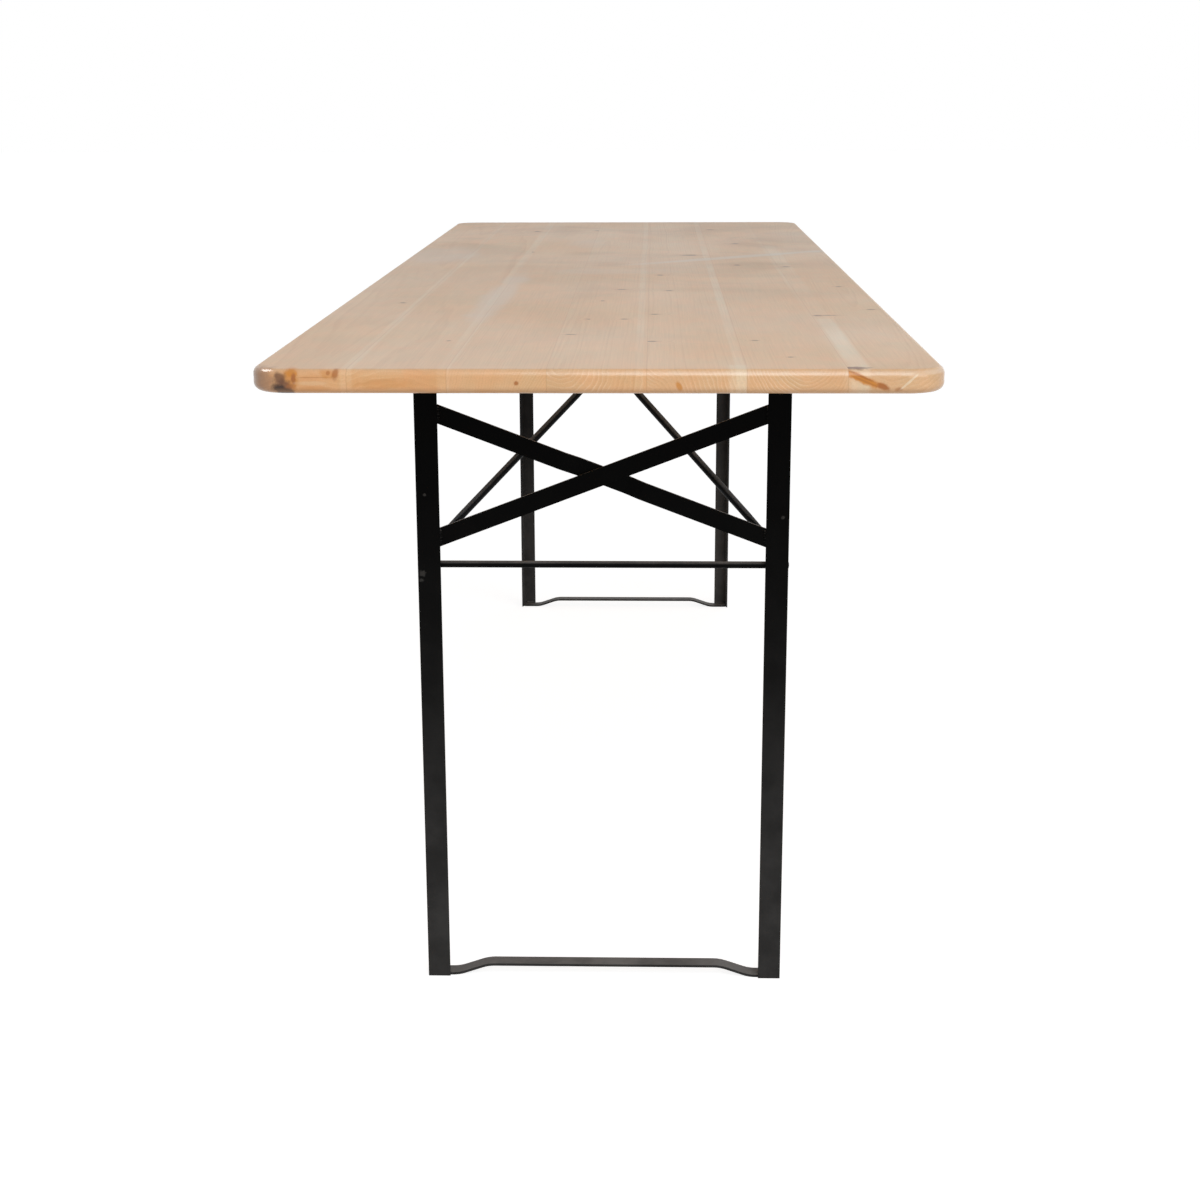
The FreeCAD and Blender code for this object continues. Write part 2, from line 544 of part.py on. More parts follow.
def main():
    ends = {"near": 0, "far": 180}
    sides = {"left": -1, "right": 1}
    nodes = {}
    bracket_places = []
    keeper_places = []
    clamp_places = []
    for end, turn in ends.items():
        for name, side in sides.items():
            own_side = side if end == "near" else -side
            nodes[f"leg_{end}_{name}"] = at_end(leg(own_side), turn)
            nodes[f"hinge_bracket_{end}_{name}"] = at_end(hinge_bracket(own_side), turn)
            bracket_places += places_at_end(bracket_screw_places(own_side), turn)
        nodes[f"cross_bar_straight_{end}"] = at_end(cross_bar(1, False), turn)
        nodes[f"cross_bar_joggled_{end}"] = at_end(cross_bar(-1, True), turn)
        nodes[f"foot_bar_{end}"] = at_end(foot_bar(), turn)
        nodes[f"frame_welds_{end}"] = at_end(frame_welds(), turn)
        nodes[f"hinge_rivets_{end}"] = at_end(hinge_rivets(), turn)
        nodes[f"brace_axle_{end}"] = at_end(brace_axle(), turn)
        nodes[f"brace_{end}"] = at_end(brace(), turn)
        nodes[f"keeper_{end}"] = at_end(keeper(), turn)
        nodes[f"spring_catch_{end}"] = at_end(spring_catch(), turn)
        nodes[f"catch_clamp_{end}"] = at_end(catch_clamp(), turn)
        keeper_places += places_at_end(keeper_screw_places(), turn)
        clamp_places += places_at_end(clamp_screw_places(), turn)

    batten_places = []
    for name, y in (("near", END_BATTEN_Y), ("middle", 0.0), ("far", -END_BATTEN_Y)):
        nodes[f"batten_{name}"] = batten(y)
        batten_places += batten_screw_places(y)
    nodes["bracket_screws"] = screws(bracket_places)
    nodes["keeper_screws"] = screws(keeper_places)
    nodes["clamp_screws"] = screws(clamp_places)
    nodes["batten_screws"] = screws(batten_places)
    all_places = bracket_places + keeper_places + clamp_places + batten_places
    for index, board in enumerate(boards(all_places), start=1):
        nodes[f"board_{index}"] = board

    os.makedirs("parts", exist_ok=True)
    for name, shape in nodes.items():
        shape.exportStep(f"parts/{name}.step")
    print("nodes", len(nodes))
    print("hinge", HINGE_Y, HINGE_Z, "axle", HINGE_Y, AXLE_HEIGHT)
    print("brace angle", math.degrees(BRACE_ANGLE), "tip", TIP_Y, TIP_Z)
    print("catch root", LEAF_ROOT_Y, LEAF_TOP - LEAF_THICKNESS / 2)


main()
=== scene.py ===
import json
import math

import bmesh
import bpy
from mathutils import Matrix, Vector


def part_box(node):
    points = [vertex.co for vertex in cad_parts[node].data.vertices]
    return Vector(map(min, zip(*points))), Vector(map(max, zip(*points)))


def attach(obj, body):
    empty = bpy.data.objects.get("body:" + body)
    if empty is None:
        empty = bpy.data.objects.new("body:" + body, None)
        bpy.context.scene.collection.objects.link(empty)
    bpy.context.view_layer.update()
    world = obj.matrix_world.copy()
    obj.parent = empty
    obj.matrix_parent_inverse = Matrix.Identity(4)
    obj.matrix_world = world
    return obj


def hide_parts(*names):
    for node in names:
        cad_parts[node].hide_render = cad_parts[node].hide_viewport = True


# Looks of a folding trestle table: lacquered pine boards on black enamelled angle-iron frames.
# Metres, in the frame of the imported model: +X across the table, +Y away from the camera, +Z up.
# Marks on the surfaces are listed in millimetres, across the table from its middle.

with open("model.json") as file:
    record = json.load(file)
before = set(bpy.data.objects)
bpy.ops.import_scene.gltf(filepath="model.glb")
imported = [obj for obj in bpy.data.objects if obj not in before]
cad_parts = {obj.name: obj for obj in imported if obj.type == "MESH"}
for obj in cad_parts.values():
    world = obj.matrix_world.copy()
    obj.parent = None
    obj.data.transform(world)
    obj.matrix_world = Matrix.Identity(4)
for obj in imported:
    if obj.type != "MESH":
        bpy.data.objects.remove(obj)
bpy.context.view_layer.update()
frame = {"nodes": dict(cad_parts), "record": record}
nodes = frame["nodes"]
MILLIMETRE = 0.001

# The camera of the photograph, fitted to the corners of the top and the feet
CAMERA_PLACE = Vector((0.056, -3.053, 1.032))
CAMERA_YAW = math.radians(-1.56)
CAMERA_PITCH = math.radians(14.59)
CAMERA_ROLL = math.radians(0.19)
FOCAL_PIXELS = 1973.0
PHOTO_PIXELS = 1200.0
SENSOR_MM = 36.0

# Studio: the floor, the sky, two wide lamps and three softboxes
WHITE = (1.0, 1.0, 1.0, 1.0)
FLOOR_SIZE = 60.0
FLOOR_COLOUR = (0.86, 0.86, 0.86, 1.0)
FLOOR_SHADOW_COLOUR = (0.559, 0.559, 0.559, 1.0)
FLOOR_GLOW = 0.84
SKY_LIGHT = 0.21
LAMP_SOFTNESS = math.radians(50.0)
KEY_LIGHT = {"strength": 1.28, "azimuth": math.radians(38.0), "elevation": math.radians(7.0)}
FILL_LIGHT = {"strength": 0.55, "azimuth": math.radians(160.0), "elevation": math.radians(12.0)}
SOFTBOX_AIM = Vector((0.0, -1.1, 0.76))
FRONT_BOX = {"place": Vector((0.45, -2.9, 2.5)), "size": (1.4, 2.0), "radiance": 2.6}
TOP_BOX = {"place": Vector((-0.5, -0.9, 2.9)), "size": (2.5, 2.0), "radiance": 0.15}
CORNER_GLINT = {"place": Vector((-1.65, -0.52, 2.15)), "size": (0.9, 0.7), "radiance": 8.0}
WATTS_PER_RADIANCE = 4.0

# The top, from the frame
TABLE_NEAR_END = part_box("board_1")[0].y
TABLE_FAR_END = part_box("board_1")[1].y
TOP_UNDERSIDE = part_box("board_1")[0].z
TOP_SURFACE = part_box("board_1")[1].z
TOP_MIDDLE = (TOP_UNDERSIDE + TOP_SURFACE) / 2

# Pine: linear colours
PINE_EARLY = (0.79, 0.47, 0.24, 1.0)
PINE_LATE = (0.60, 0.29, 0.11, 1.0)
PINE_PALE = (0.86, 0.62, 0.38, 1.0)
PINE_WHITE = (0.92, 0.76, 0.54, 1.0)
PINE_KNOT = (0.14, 0.055, 0.02, 1.0)
PINE_KNOT_RIM = (0.45, 0.15, 0.03, 1.0)
PINE_RESIN = (0.66, 0.25, 0.03, 1.0)
PINE_BROWN = (0.16, 0.06, 0.025, 1.0)
PINE_STAIN_AND_SHADE = (0.40, 0.20, 0.12, 1.0)
PINE_BARK = (0.03, 0.008, 0.002, 1.0)
PINE_BLEACHED_AND_SHEEN = (0.72, 0.64, 0.56, 1.0)
# The colour of a painted highlight on the upper arris of the ends
PINE_ARRIS_HIGHLIGHT = (0.95, 0.84, 0.72, 1.0)

# Pine: shades that its colour is multiplied by
PINK_SHADE = (1.02, 0.992, 0.98, 1.0)
ASH_SHADE = (0.985, 0.998, 1.0, 1.0)
WEATHERED_SHADE = (0.94, 1.0, 1.08, 1.0)
DARK_REFLECTIONS_POWERS = (0.8, 1.05, 1.5)

# Boards from left to right: pith across and above the board's middle at the near end, its drift,
# ring spacing (all in millimetres, drift per metre), how clearly the rings show on the end, tint
BOARD_GRAIN = [
    {"pith": (14, -96), "drift": (9, 22), "ring": 5.0, "clear": 0.3, "tint": (1.02, 0.91, 0.78)},
    {"pith": (-6, -120), "drift": (-7, -9), "ring": 6.0, "clear": 0.35, "tint": (1.02, 0.91, 0.77)},
    {"pith": (74, -22), "drift": (8, -6), "ring": 2.8, "clear": 0.3, "tint": (1.01, 0.95, 0.87)},
    {"pith": (-35, 17), "drift": (5, 5), "ring": 4.6, "clear": 0.9, "tint": (1.0, 0.98, 0.95)},
    {"pith": (-66, -24), "drift": (-9, 6), "ring": 4.2, "clear": 0.6, "tint": (0.99, 0.98, 0.97)},
    {"pith": (7, 25), "drift": (-4, 5), "ring": 3.4, "clear": 1.0, "tint": (1.0, 1.0, 1.0)},
    {"pith": (-4, 46), "drift": (26, -34), "ring": 4.4, "clear": 0.35, "tint": (1.0, 1.01, 1.02)},
]
BOARD_SHIFT = (1.7, 3.1, 0.9)

# Patterns of the pine: how often each repeats per metre across, along and through the top, and
# where they aren't the usual ones, its detail, roughness and distortion
RING_SWAY = (5.0, 0.8, 5.0)
RING_WOBBLE = ((45.0, 2.5, 45.0),)
RAGGED_EDGES = ((160.0, 90.0, 160.0), 3.0)
FIBRES = ((700.0, 9.0, 700.0), 3.0, 0.6)
CLOUDS = ((14.0, 1.6, 14.0), 3.0)
SHEEN = ((3.2, 2.6, 1.0), 4.0, 0.55, 1.2)
MOTTLE = ((9.0, 8.0, 30.0), 3.0, 0.5, 1.0)
BLOTCHES = ((60.0, 26.0, 60.0),)
PORES = ((900.0, 300.0, 900.0),)
GLOSS_PATCHES = ((3.0, 2.2, 3.0), 3.0)
YEAR_SCALE = 0.45
YEAR_DETAIL = 2.0

# Smooth steps of the pine: the low and high value of what a step follows, then what it starts and
# ends at where that isn't 0 and 1
END_FACING = (0.3, 0.8)
TOP_FACING = (0.9, 0.99)
ARRIS_LOW = (0.1, 0.42)
ARRIS_HIGH = (0.65, 0.93, 1.0, 0.0)
LATE_RISE = (0.35, 0.9)
LATE_FALL = (0.9, 1.0, 1.0, 0.0)
YEAR_STRENGTH = (0.38, 0.68, 0.12, 1.0)
PALE_RISE = (0.0, 0.12)
PALE_FALL = (0.12, 0.35, 1.0, 0.0)
FIGURE_SHARE = (0.35, 0.7, 0.14, 0.6)
FIGURE_ON_END = (0.0, 1.0, 1.0, 0.6)
PALE_RING_SHARE = (0.4, 0.6, 0.1, 0.6)
PALE_CLOUD_SHARE = (0.3, 0.75, 0.0, 0.35)
SAPWOOD_PATCHES = (0.35, 0.6, 0.35, 1.0)
MOTTLE_SHARE = (0.35, 0.65)
FIBRE_BRIGHTNESS = (0.25, 0.75, 0.95, 1.04)
# Painted sheen in patches, and painted shade that darkens the top towards the far end
SHEEN_STEP = (0.35, 0.65)
FAR_END_SHADE_STEP = (TABLE_NEAR_END, TABLE_FAR_END, 0.97, 0.83)
SHEEN_BRIGHTNESS = 1.03
BOARD_TINT_SHARE = (0.0, 1.0, 0.15, 1.0)
# Where across the top the painted arris highlight shows, and how patchy it is
ARRIS_HIGHLIGHT_ACROSS = (-0.15, 0.12, 0.06, 0.28)
ARRIS_HIGHLIGHT_BLOTCHES = (0.3, 0.7, 0.7, 1.1)
PORE_SHARE = (0.6, 0.72)
ROUGHNESS_STEP = (0.3, 0.7, 0.36, 0.44)
EDGE_GLOSS = (0.9, 0.99, 0.48, 1.0)

# Other measures of the pine: lengths in metres, and shares
SWAY_REACH = (0.02, 0.0, 0.02)
WOBBLE_TURNS = 2.2
RAGGED_SHARE = 0.8
TORN_SHARE = 1.8
FLAME_FIGURE = 0.4
CLEAR_RINGS = 0.2
END_PORES = 0.3
SAPWOOD_SWAY = 0.3
SAPWOOD_EDGE = (0.6, 1.1)
KNOT_DEPTH = 1.0
KNOT_CORE = {"size": 0.75, "soft": 0.5, "share": 0.8}
KNOT_RIM = {"size": 1.5, "soft": 0.9, "share": 0.5}
KNOT_FLAME = {"size": 4.0, "soft": 1.0}
PATCH_DEPTH = 0.004
DARK_REFLECTIONS_SOFT = 0.95
PALER_AND_REFLECTED_SOFT = 0.6
END_MARK_SOFT = 0.6
GLUE_LINE = 0.0007
GLUE_LINE_CORE = 0.3
GLUE_LINE_SHARE = 0.22
# Painted shade along the lower edge of the ends: its height and share
LOWER_EDGE_SHADE_HEIGHT = 0.008
LOWER_EDGE_SHADE_SHARE = 0.5
PINE_SPECULAR = 0.5
PINE_RELIEF = 0.00012
RELIEF_STRENGTH = 0.5

# Knots in the top: across, along from the near end, half width, half length
KNOTS = [
    (117, 1368, 22, 14), (-168, 1923, 10, 12), (-52, 1945, 7, 10), (167, 1968, 12, 11),
    (202, 1615, 12, 12), (-150, 1435, 6, 8), (187, 1180, 8, 12), (262, 1150, 10, 9),
    (67, 1011, 8, 9), (13, 798, 10, 7), (78, 780, 8, 7), (315, 835, 8, 7),
    (-10, 648, 4, 6), (-270, 625, 5, 6), (58, 490, 8, 5), (257, 475, 8, 9), (271, 478, 16, 4),
    (330, 543, 9, 6), (-22, 438, 4, 5), (22, 438, 7, 5), (-37, 285, 9, 4),
    (54, 223, 10, 5), (169, 231, 6, 4), (-170, 228, 4, 4), (199, 93, 5, 4),
]

# Pale sapwood along the top: across, half width, reach from the near end, share, and the length
# over which each strip fades out
SAPWOOD = [
    (-250, 6, 2200, 0.26), (-153, 7, 2200, 0.3), (41, 5, 2200, 0.2), (144, 6, 2200, 0.36),
    (262, 11, 450, 0.5), (258, 14, 1700, 0.25), (141, 11, 40, 0.35), (-118, 40, 30, 0.15),
]
SAPWOOD_FADE = 15

# Painted dark reflections in the top's lacquer: across, along from the near end, half width, half length,
# turn (degrees), brightness
DARK_REFLECTIONS = [
    (215, 1600, 85, 235, 0.0, 0.78), (260, 1585, 60, 90, 0.0, 0.86), (216, 1195, 75, 165, 0.0, 0.81),
    (-278, 1740, 90, 95, 0.0, 0.85), (-60, 1412, 85, 62, 0.0, 0.85), (104, 796, 180, 55, 0.0, 0.88),
    (-30, 757, 60, 120, 0.0, 0.93), (-113, 1864, 45, 270, 0.0, 0.84), (-10, 1190, 40, 60, 0.0, 0.85),
    (72, 540, 190, 340, 0.0, 0.97),
]

# Paler patches on the top, some pale wood and some a painted sheen, and one streak that is a painted
# reflection, with the same measures, and a share
PALER_AND_REFLECTED = [
    (185, 1325, 26, 270, -50.0, 0.5), (-150, 720, 26, 380, -1.5, 0.4), (-60, 1620, 70, 150, 0.0, 0.2),
    (-300, 1390, 60, 200, 0.0, 0.25), (0, 1075, 110, 60, 0.0, 0.2),
]

# Marks in the near end of the top: across, from the near end, below the surface, half sizes in
# the same order, slope down to the right (degrees), colour, share
END_MARKS = [
    # A stain at the left corner, partly painted shade where the corner turns from the light
    (-340.0, 16.0, 13.0, 26.0, 36.0, 22.0, 0.0, PINE_STAIN_AND_SHADE, 0.55),
    (-306.0, 3.0, 10.0, 11.0, 30.0, 19.0, 0.0, PINE_RESIN, 0.7),
    (-305.0, 3.0, 4.0, 7.0, 20.0, 6.0, 0.0, PINE_RESIN, 0.9),
    (-303.0, 3.0, 9.0, 3.5, 20.0, 7.0, 0.0, PINE_KNOT_RIM, 1.0),
    (-317.0, 3.0, 9.0, 9.0, 30.0, 8.0, 0.0, PINE_BROWN, 0.8),
    (-313.0, 3.0, 17.0, 12.0, 30.0, 9.0, 8.0, PINE_BROWN, 0.85),
    (-316.0, 3.0, 20.5, 13.0, 30.0, 6.5, 12.0, PINE_BARK, 1.0),
    (-306.0, 3.0, 19.0, 8.0, 30.0, 6.0, 0.0, PINE_KNOT_RIM, 0.6),
    (-309.0, 3.0, 22.5, 10.0, 30.0, 5.0, 6.0, PINE_BARK, 1.0),
    (-284.0, 0.0, 20.0, 24.0, 14.0, 4.0, 0.0, PINE_RESIN, 0.3),
    (-284.0, 0.0, 14.0, 22.0, 14.0, 3.0, 0.0, PINE_PALE, 0.35),
    (-284.0, 0.0, 8.2, 24.0, 14.0, 1.0, 0.0, PINE_KNOT_RIM, 0.35),
    (-268.0, 0.0, 5.0, 12.0, 14.0, 6.0, 0.0, PINE_RESIN, 0.5),
    (-261.0, 0.0, 5.0, 4.6, 16.0, 8.0, 0.0, PINE_KNOT_RIM, 0.8),
    (-268.0, 0.0, 4.0, 3.0, 10.0, 3.0, 30.0, PINE_KNOT_RIM, 0.7),
    (-214.0, 0.0, 15.0, 42.0, 14.0, 7.0, 0.0, PINE_RESIN, 0.3),
    (-100.0, 0.0, 23.0, 40.0, 10.0, 3.0, 0.0, PINE_RESIN, 0.3),
    (-80.0, 0.0, 14.0, 3.0, 8.0, 3.0, 0.0, PINE_KNOT_RIM, 0.9),
    (82.0, 0.0, 17.0, 4.0, 12.0, 7.0, -25.0, PINE_RESIN, 0.8),
    (265.0, 0.0, 10.0, 35.0, 16.0, 5.2, 23.0, PINE_RESIN, 1.0),
    (262.0, 0.0, 6.5, 24.0, 16.0, 1.5, 23.0, PINE_KNOT_RIM, 0.7),
    (268.0, 0.0, 12.5, 26.0, 16.0, 1.3, 23.0, PINE_KNOT_RIM, 0.5),
    (285.0, 0.0, 17.5, 11.0, 16.0, 4.0, 20.0, PINE_KNOT_RIM, 1.0),
    (300.0, 0.0, 20.0, 5.0, 10.0, 3.2, 0.0, PINE_KNOT_RIM, 0.6),
    (310.0, 0.0, 12.5, 17.0, 12.0, 1.6, -42.0, PINE_WHITE, 0.65),
    (258.0, 13.0, 0.0, 18.0, 11.0, 4.0, 0.0, PINE_BROWN, 0.95),
]

# Batten wood: linear colours, patterns as for the pine, and smooth steps
BATTEN_EARLY = (0.60, 0.36, 0.19, 1.0)
BATTEN_LATE = (0.42, 0.22, 0.1, 1.0)
BATTEN_FIBRES = ((10.0, 500.0, 500.0), 3.0, 0.6)
BATTEN_FIGURE = ((2.5, 90.0, 90.0),)
BATTEN_FIGURE_SHARE = (0.3, 0.7)
BATTEN_FIBRE_SHARE = (0.3, 0.8, 0.0, 0.35)
BATTEN_ROUGHNESS = (0.2, 0.8, 0.5, 0.65)
BATTEN_SPECULAR = 0.35
BATTEN_RELIEF = 0.0002

# Black enamel: linear greys, and the height over which the dust and a painted floor light thin out
ENAMEL_GREY = 0.0006
# Painted light: the far legs get lighter greys, the right one most
FAR_LEG_LIT_GREY = {"leg_far_left": 0.013, "leg_far_right": 0.034}
# Painted light: a lighter grey for the braces
BRACE_LIT_GREY = 0.012
DUST_AND_FLOOR_LIGHT_GREY = 0.042
DUST_AND_FLOOR_LIGHT_HEIGHT = 0.31
SETTLED_DUST_AND_LIGHT = 0.14
LIT_DUST_SLOPES = (0.2, 0.95)
DUST_AND_LIGHT_TINT = (1.0, 0.97, 0.95)
DUST_THICKNESS = (0.25, 0.75, 0.75, 1.25)
# Painted highlight along the braces' upper side, tinted cool to offset warm light bounced from the top
BRACE_HIGHLIGHT_SLOPES = (0.5, 0.92)
BRACE_HIGHLIGHT_TINT = (0.84, 0.97, 1.12)

# Black enamel: patterns as scale, detail and roughness, worn edges, chips and gloss
ORANGE_PEEL = (420.0, 2.0)
ENAMEL_PATCHES = (22.0, 4.0, 0.6)
ENAMEL_SPECKS = (260.0, 3.0, 0.65)
EDGE_RADIUS = 0.001
EDGE_SAMPLES = 4
EDGE_SHARPNESS = (0.15, 0.6)
EDGE_SPECKS = (0.5, 0.62)
WORN_COLOUR = (0.04, 0.042, 0.045, 1.0)
CHIP_COLOUR = (0.10, 0.095, 0.09, 1.0)
WORN_SHARE = 0.4
CHIP_RAGGED = 1.6
ENAMEL_ROUGHNESS = (0.3, 0.8, 0.34, 0.52)
ENAMEL_SPECULAR = 0.025
PEEL_RELIEF = 0.00008
PEEL_STRENGTH = 0.35

# Chips in the near frame's enamel: across, height, half size
CHIPS = [(-200, 588, 2.2), (-205, 497, 4.5), (-206, 489, 3.0), (112, 585, 2.4), (203, 563, 2.6)]
CHIPPED_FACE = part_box("leg_near_left")[0].y

# Bare steel: colours, roughness, tarnish and rolling marks
ZINC = {"colour": (0.62, 0.62, 0.60, 1.0), "roughness": 0.28}
SPRING_STEEL = {"colour": (0.45, 0.45, 0.46, 1.0), "roughness": 0.3}
TARNISH_CLOUDS = (90.0, 3.0)
TARNISH_DARKNESS = 0.55
TARNISH_SHARE = (0.35, 0.75, 0.0, 0.7)
TARNISH_STEP = (0.3, 0.7)
TARNISH_ROUGHNESS = 0.2
ROLLING_MARKS = ((2500.0, 120.0, 2500.0),)
ROLLING_RELIEF = 0.00003
ROLLING_STRENGTH = 0.3

# Screws: lengths in metres, rings of the head as shares of its radius, directions between two arms
# of the cross recess in degrees, and the turn from one screw to the next in radians
RECESS_HALF_WIDTH = 0.00075
RECESS_HALF_LENGTH = 0.0023
RECESS_DEPTH = 0.0015
RECESS_FLOOR_SHARE = 0.62
RECESS_ANGLES = range(24, 67, 7)
HEAD_HEIGHT = 0.0024
HEAD_RINGS = (0.62, 0.78, 0.9, 0.97, 1.0)
DOME_ROUNDNESS = 2.4
SHANK_RADIUS = 0.00225
POINT_LENGTH = 0.004
SCREW_TURN = 2.4
SCREW_REACH = 0.010
NEARLY_ZERO = 1e-6

# Ripples of a weld bead, in metres
RIPPLE_PITCH = 0.0018
RIPPLE_SHARE = 0.16
BEAD_STEP = 0.0005
BEAD_TAPER = 0.0025
BEAD_END_SHARE = 0.2
BEAD_REACH = 0.060
ARC_STEPS = 6

# The height within which corners belong to one screw or bead, and the sharpest smoothed edge
GROUP_HEIGHT = 0.060
SMOOTH_ANGLE = math.radians(35.0)

# The colour sockets of a Mix node (factor, first and second colour, result), and a noise's mean
MIX_INPUTS = (0, 6, 7)
MIX_OUTPUT = 2
NOISE_MEAN = 0.5


class Shader:
    """One material or sky, whose node tree is built with short calls."""

    def __init__(self, name, sky=False):
        self.owner = bpy.data.worlds.new(name) if sky else bpy.data.materials.new(name)
        self.owner.use_nodes = True
        self.tree = self.owner.node_tree
        self.tree.nodes.clear()
        self.output = self.tree.nodes.new("ShaderNodeOutputWorld" if sky else "ShaderNodeOutputMaterial")

    def put(self, socket, value):
        """Links a socket's value, or sets a plain one."""
        if isinstance(value, bpy.types.NodeSocket):
            self.tree.links.new(value, socket)
        elif value is not None:
            socket.default_value = value

    def node(self, kind, settings=None, **inputs):
        made = self.tree.nodes.new(kind)
        for key, value in (settings or {}).items():
            setattr(made, key, value)
        for key, value in inputs.items():
            self.put(made.inputs[key.replace("_", " ")], value)
        return made

    def math(self, operation, first, second=None, third=None):
        made = self.tree.nodes.new("ShaderNodeMath")
        made.operation = operation
        for socket, value in zip(made.inputs, (first, second, third)):
            self.put(socket, value)
        return made.outputs[0]

    def add(self, first, second):
        return self.math("ADD", first, second)

    def times(self, first, second):
        return self.math("MULTIPLY", first, second)

    def less(self, first, second):
        return self.math("SUBTRACT", first, second)

    def vector(self, operation, first, second=None):
        made = self.tree.nodes.new("ShaderNodeVectorMath")
        made.operation = operation
        self.put(made.inputs[0], first)
        self.put(made.inputs[1], second)
        return made.outputs["Value" if operation == "LENGTH" else "Vector"]

    def parts(self, vector):
        return self.node("ShaderNodeSeparateXYZ", Vector=vector).outputs

    def step(self, value, low, high, start=0.0, end=1.0):
        """A smooth rise from start to end while the value goes from low to high."""
        made = self.tree.nodes.new("ShaderNodeMapRange")
        made.interpolation_type = "SMOOTHSTEP"
        for socket, given in zip(made.inputs, (value, low, high, start, end)):
            self.put(socket, given)
        return made.outputs[0]

    def noise(self, vector, scale, detail=2.0, roughness=0.5, distortion=0.0):
        sizes = {"Scale": scale, "Detail": detail, "Roughness": roughness, "Distortion": distortion}
        return self.node("ShaderNodeTexNoise", Vector=vector, **sizes).outputs

    def pattern(self, place, stretch, *details):
        """A noise that repeats at its own rate in each direction."""
        return self.noise(self.vector("MULTIPLY", place, stretch), 1.0, *details)["Fac"]

    def about_zero(self, pattern, share):
        """A pattern moved to lie about zero, and scaled."""
        return self.times(self.less(pattern, NOISE_MEAN), share)

    def mix(self, share, first, second, blend="MIX"):
        made = self.tree.nodes.new("ShaderNodeMix")
        made.data_type = "RGBA"
        made.blend_type = blend
        for number, value in zip(MIX_INPUTS, (share, first, second)):
            self.put(made.inputs[number], value)
        return made.outputs[MIX_OUTPUT]

    def shade(self, colour, factor, share=1.0):
        """A colour multiplied by another one."""
        return self.mix(share, colour, factor, "MULTIPLY")

    def grey(self, value):
        return self.node("ShaderNodeCombineXYZ", X=value, Y=value, Z=value).outputs[0]

    def place(self):
        """Where a point lies in the model's own frame, in metres."""
        return self.tree.nodes.new("ShaderNodeTexCoord").outputs["Object"]

    def normal(self):
        return self.tree.nodes.new("ShaderNodeTexCoord").outputs["Normal"]

    def bump(self, height, distance, strength, normal=None):
        sizes = {"Distance": distance, "Strength": strength}
        return self.node("ShaderNodeBump", Height=height, Normal=normal, **sizes).outputs[0]

    def blend(self, share, first, second):
        """Two surfaces mixed."""
        made = self.node("ShaderNodeMixShader", Fac=share)
        self.tree.links.new(first, made.inputs[1])
        self.tree.links.new(second, made.inputs[2])
        return made.outputs[0]

    def end(self, shown):
        """Ends the tree in a surface that is shown."""
        self.tree.links.new(shown, self.output.inputs["Surface"])
        return self.owner

    def surface(self, **inputs):
        """Ends the material in a Principled surface."""
        return self.end(self.node("ShaderNodeBsdfPrincipled", **inputs).outputs[0])


def along(from_near_end):
    """The place along the table of a distance from the near end in millimetres."""
    return TABLE_NEAR_END + from_near_end * MILLIMETRE


def mark(shader, place, centre, half, ragged, slope=0.0, soft=0.5, axis="Y_AXIS"):
    """A soft, ragged ellipsoid about a centre, turned about an axis: 1 inside and 0 outside."""
    offset = shader.vector("SUBTRACT", place, centre)
    if slope:
        turn = {"rotation_type": axis}
        turned = shader.node("ShaderNodeVectorRotate", turn, Vector=offset, Angle=-math.radians(slope))
        offset = turned.outputs[0]
    scaled = shader.vector("MULTIPLY", offset, tuple(1 / size for size in half))
    distance = shader.vector("LENGTH", scaled)
    return shader.step(shader.add(distance, ragged), 1 - soft, 1.0, 1.0, 0.0)


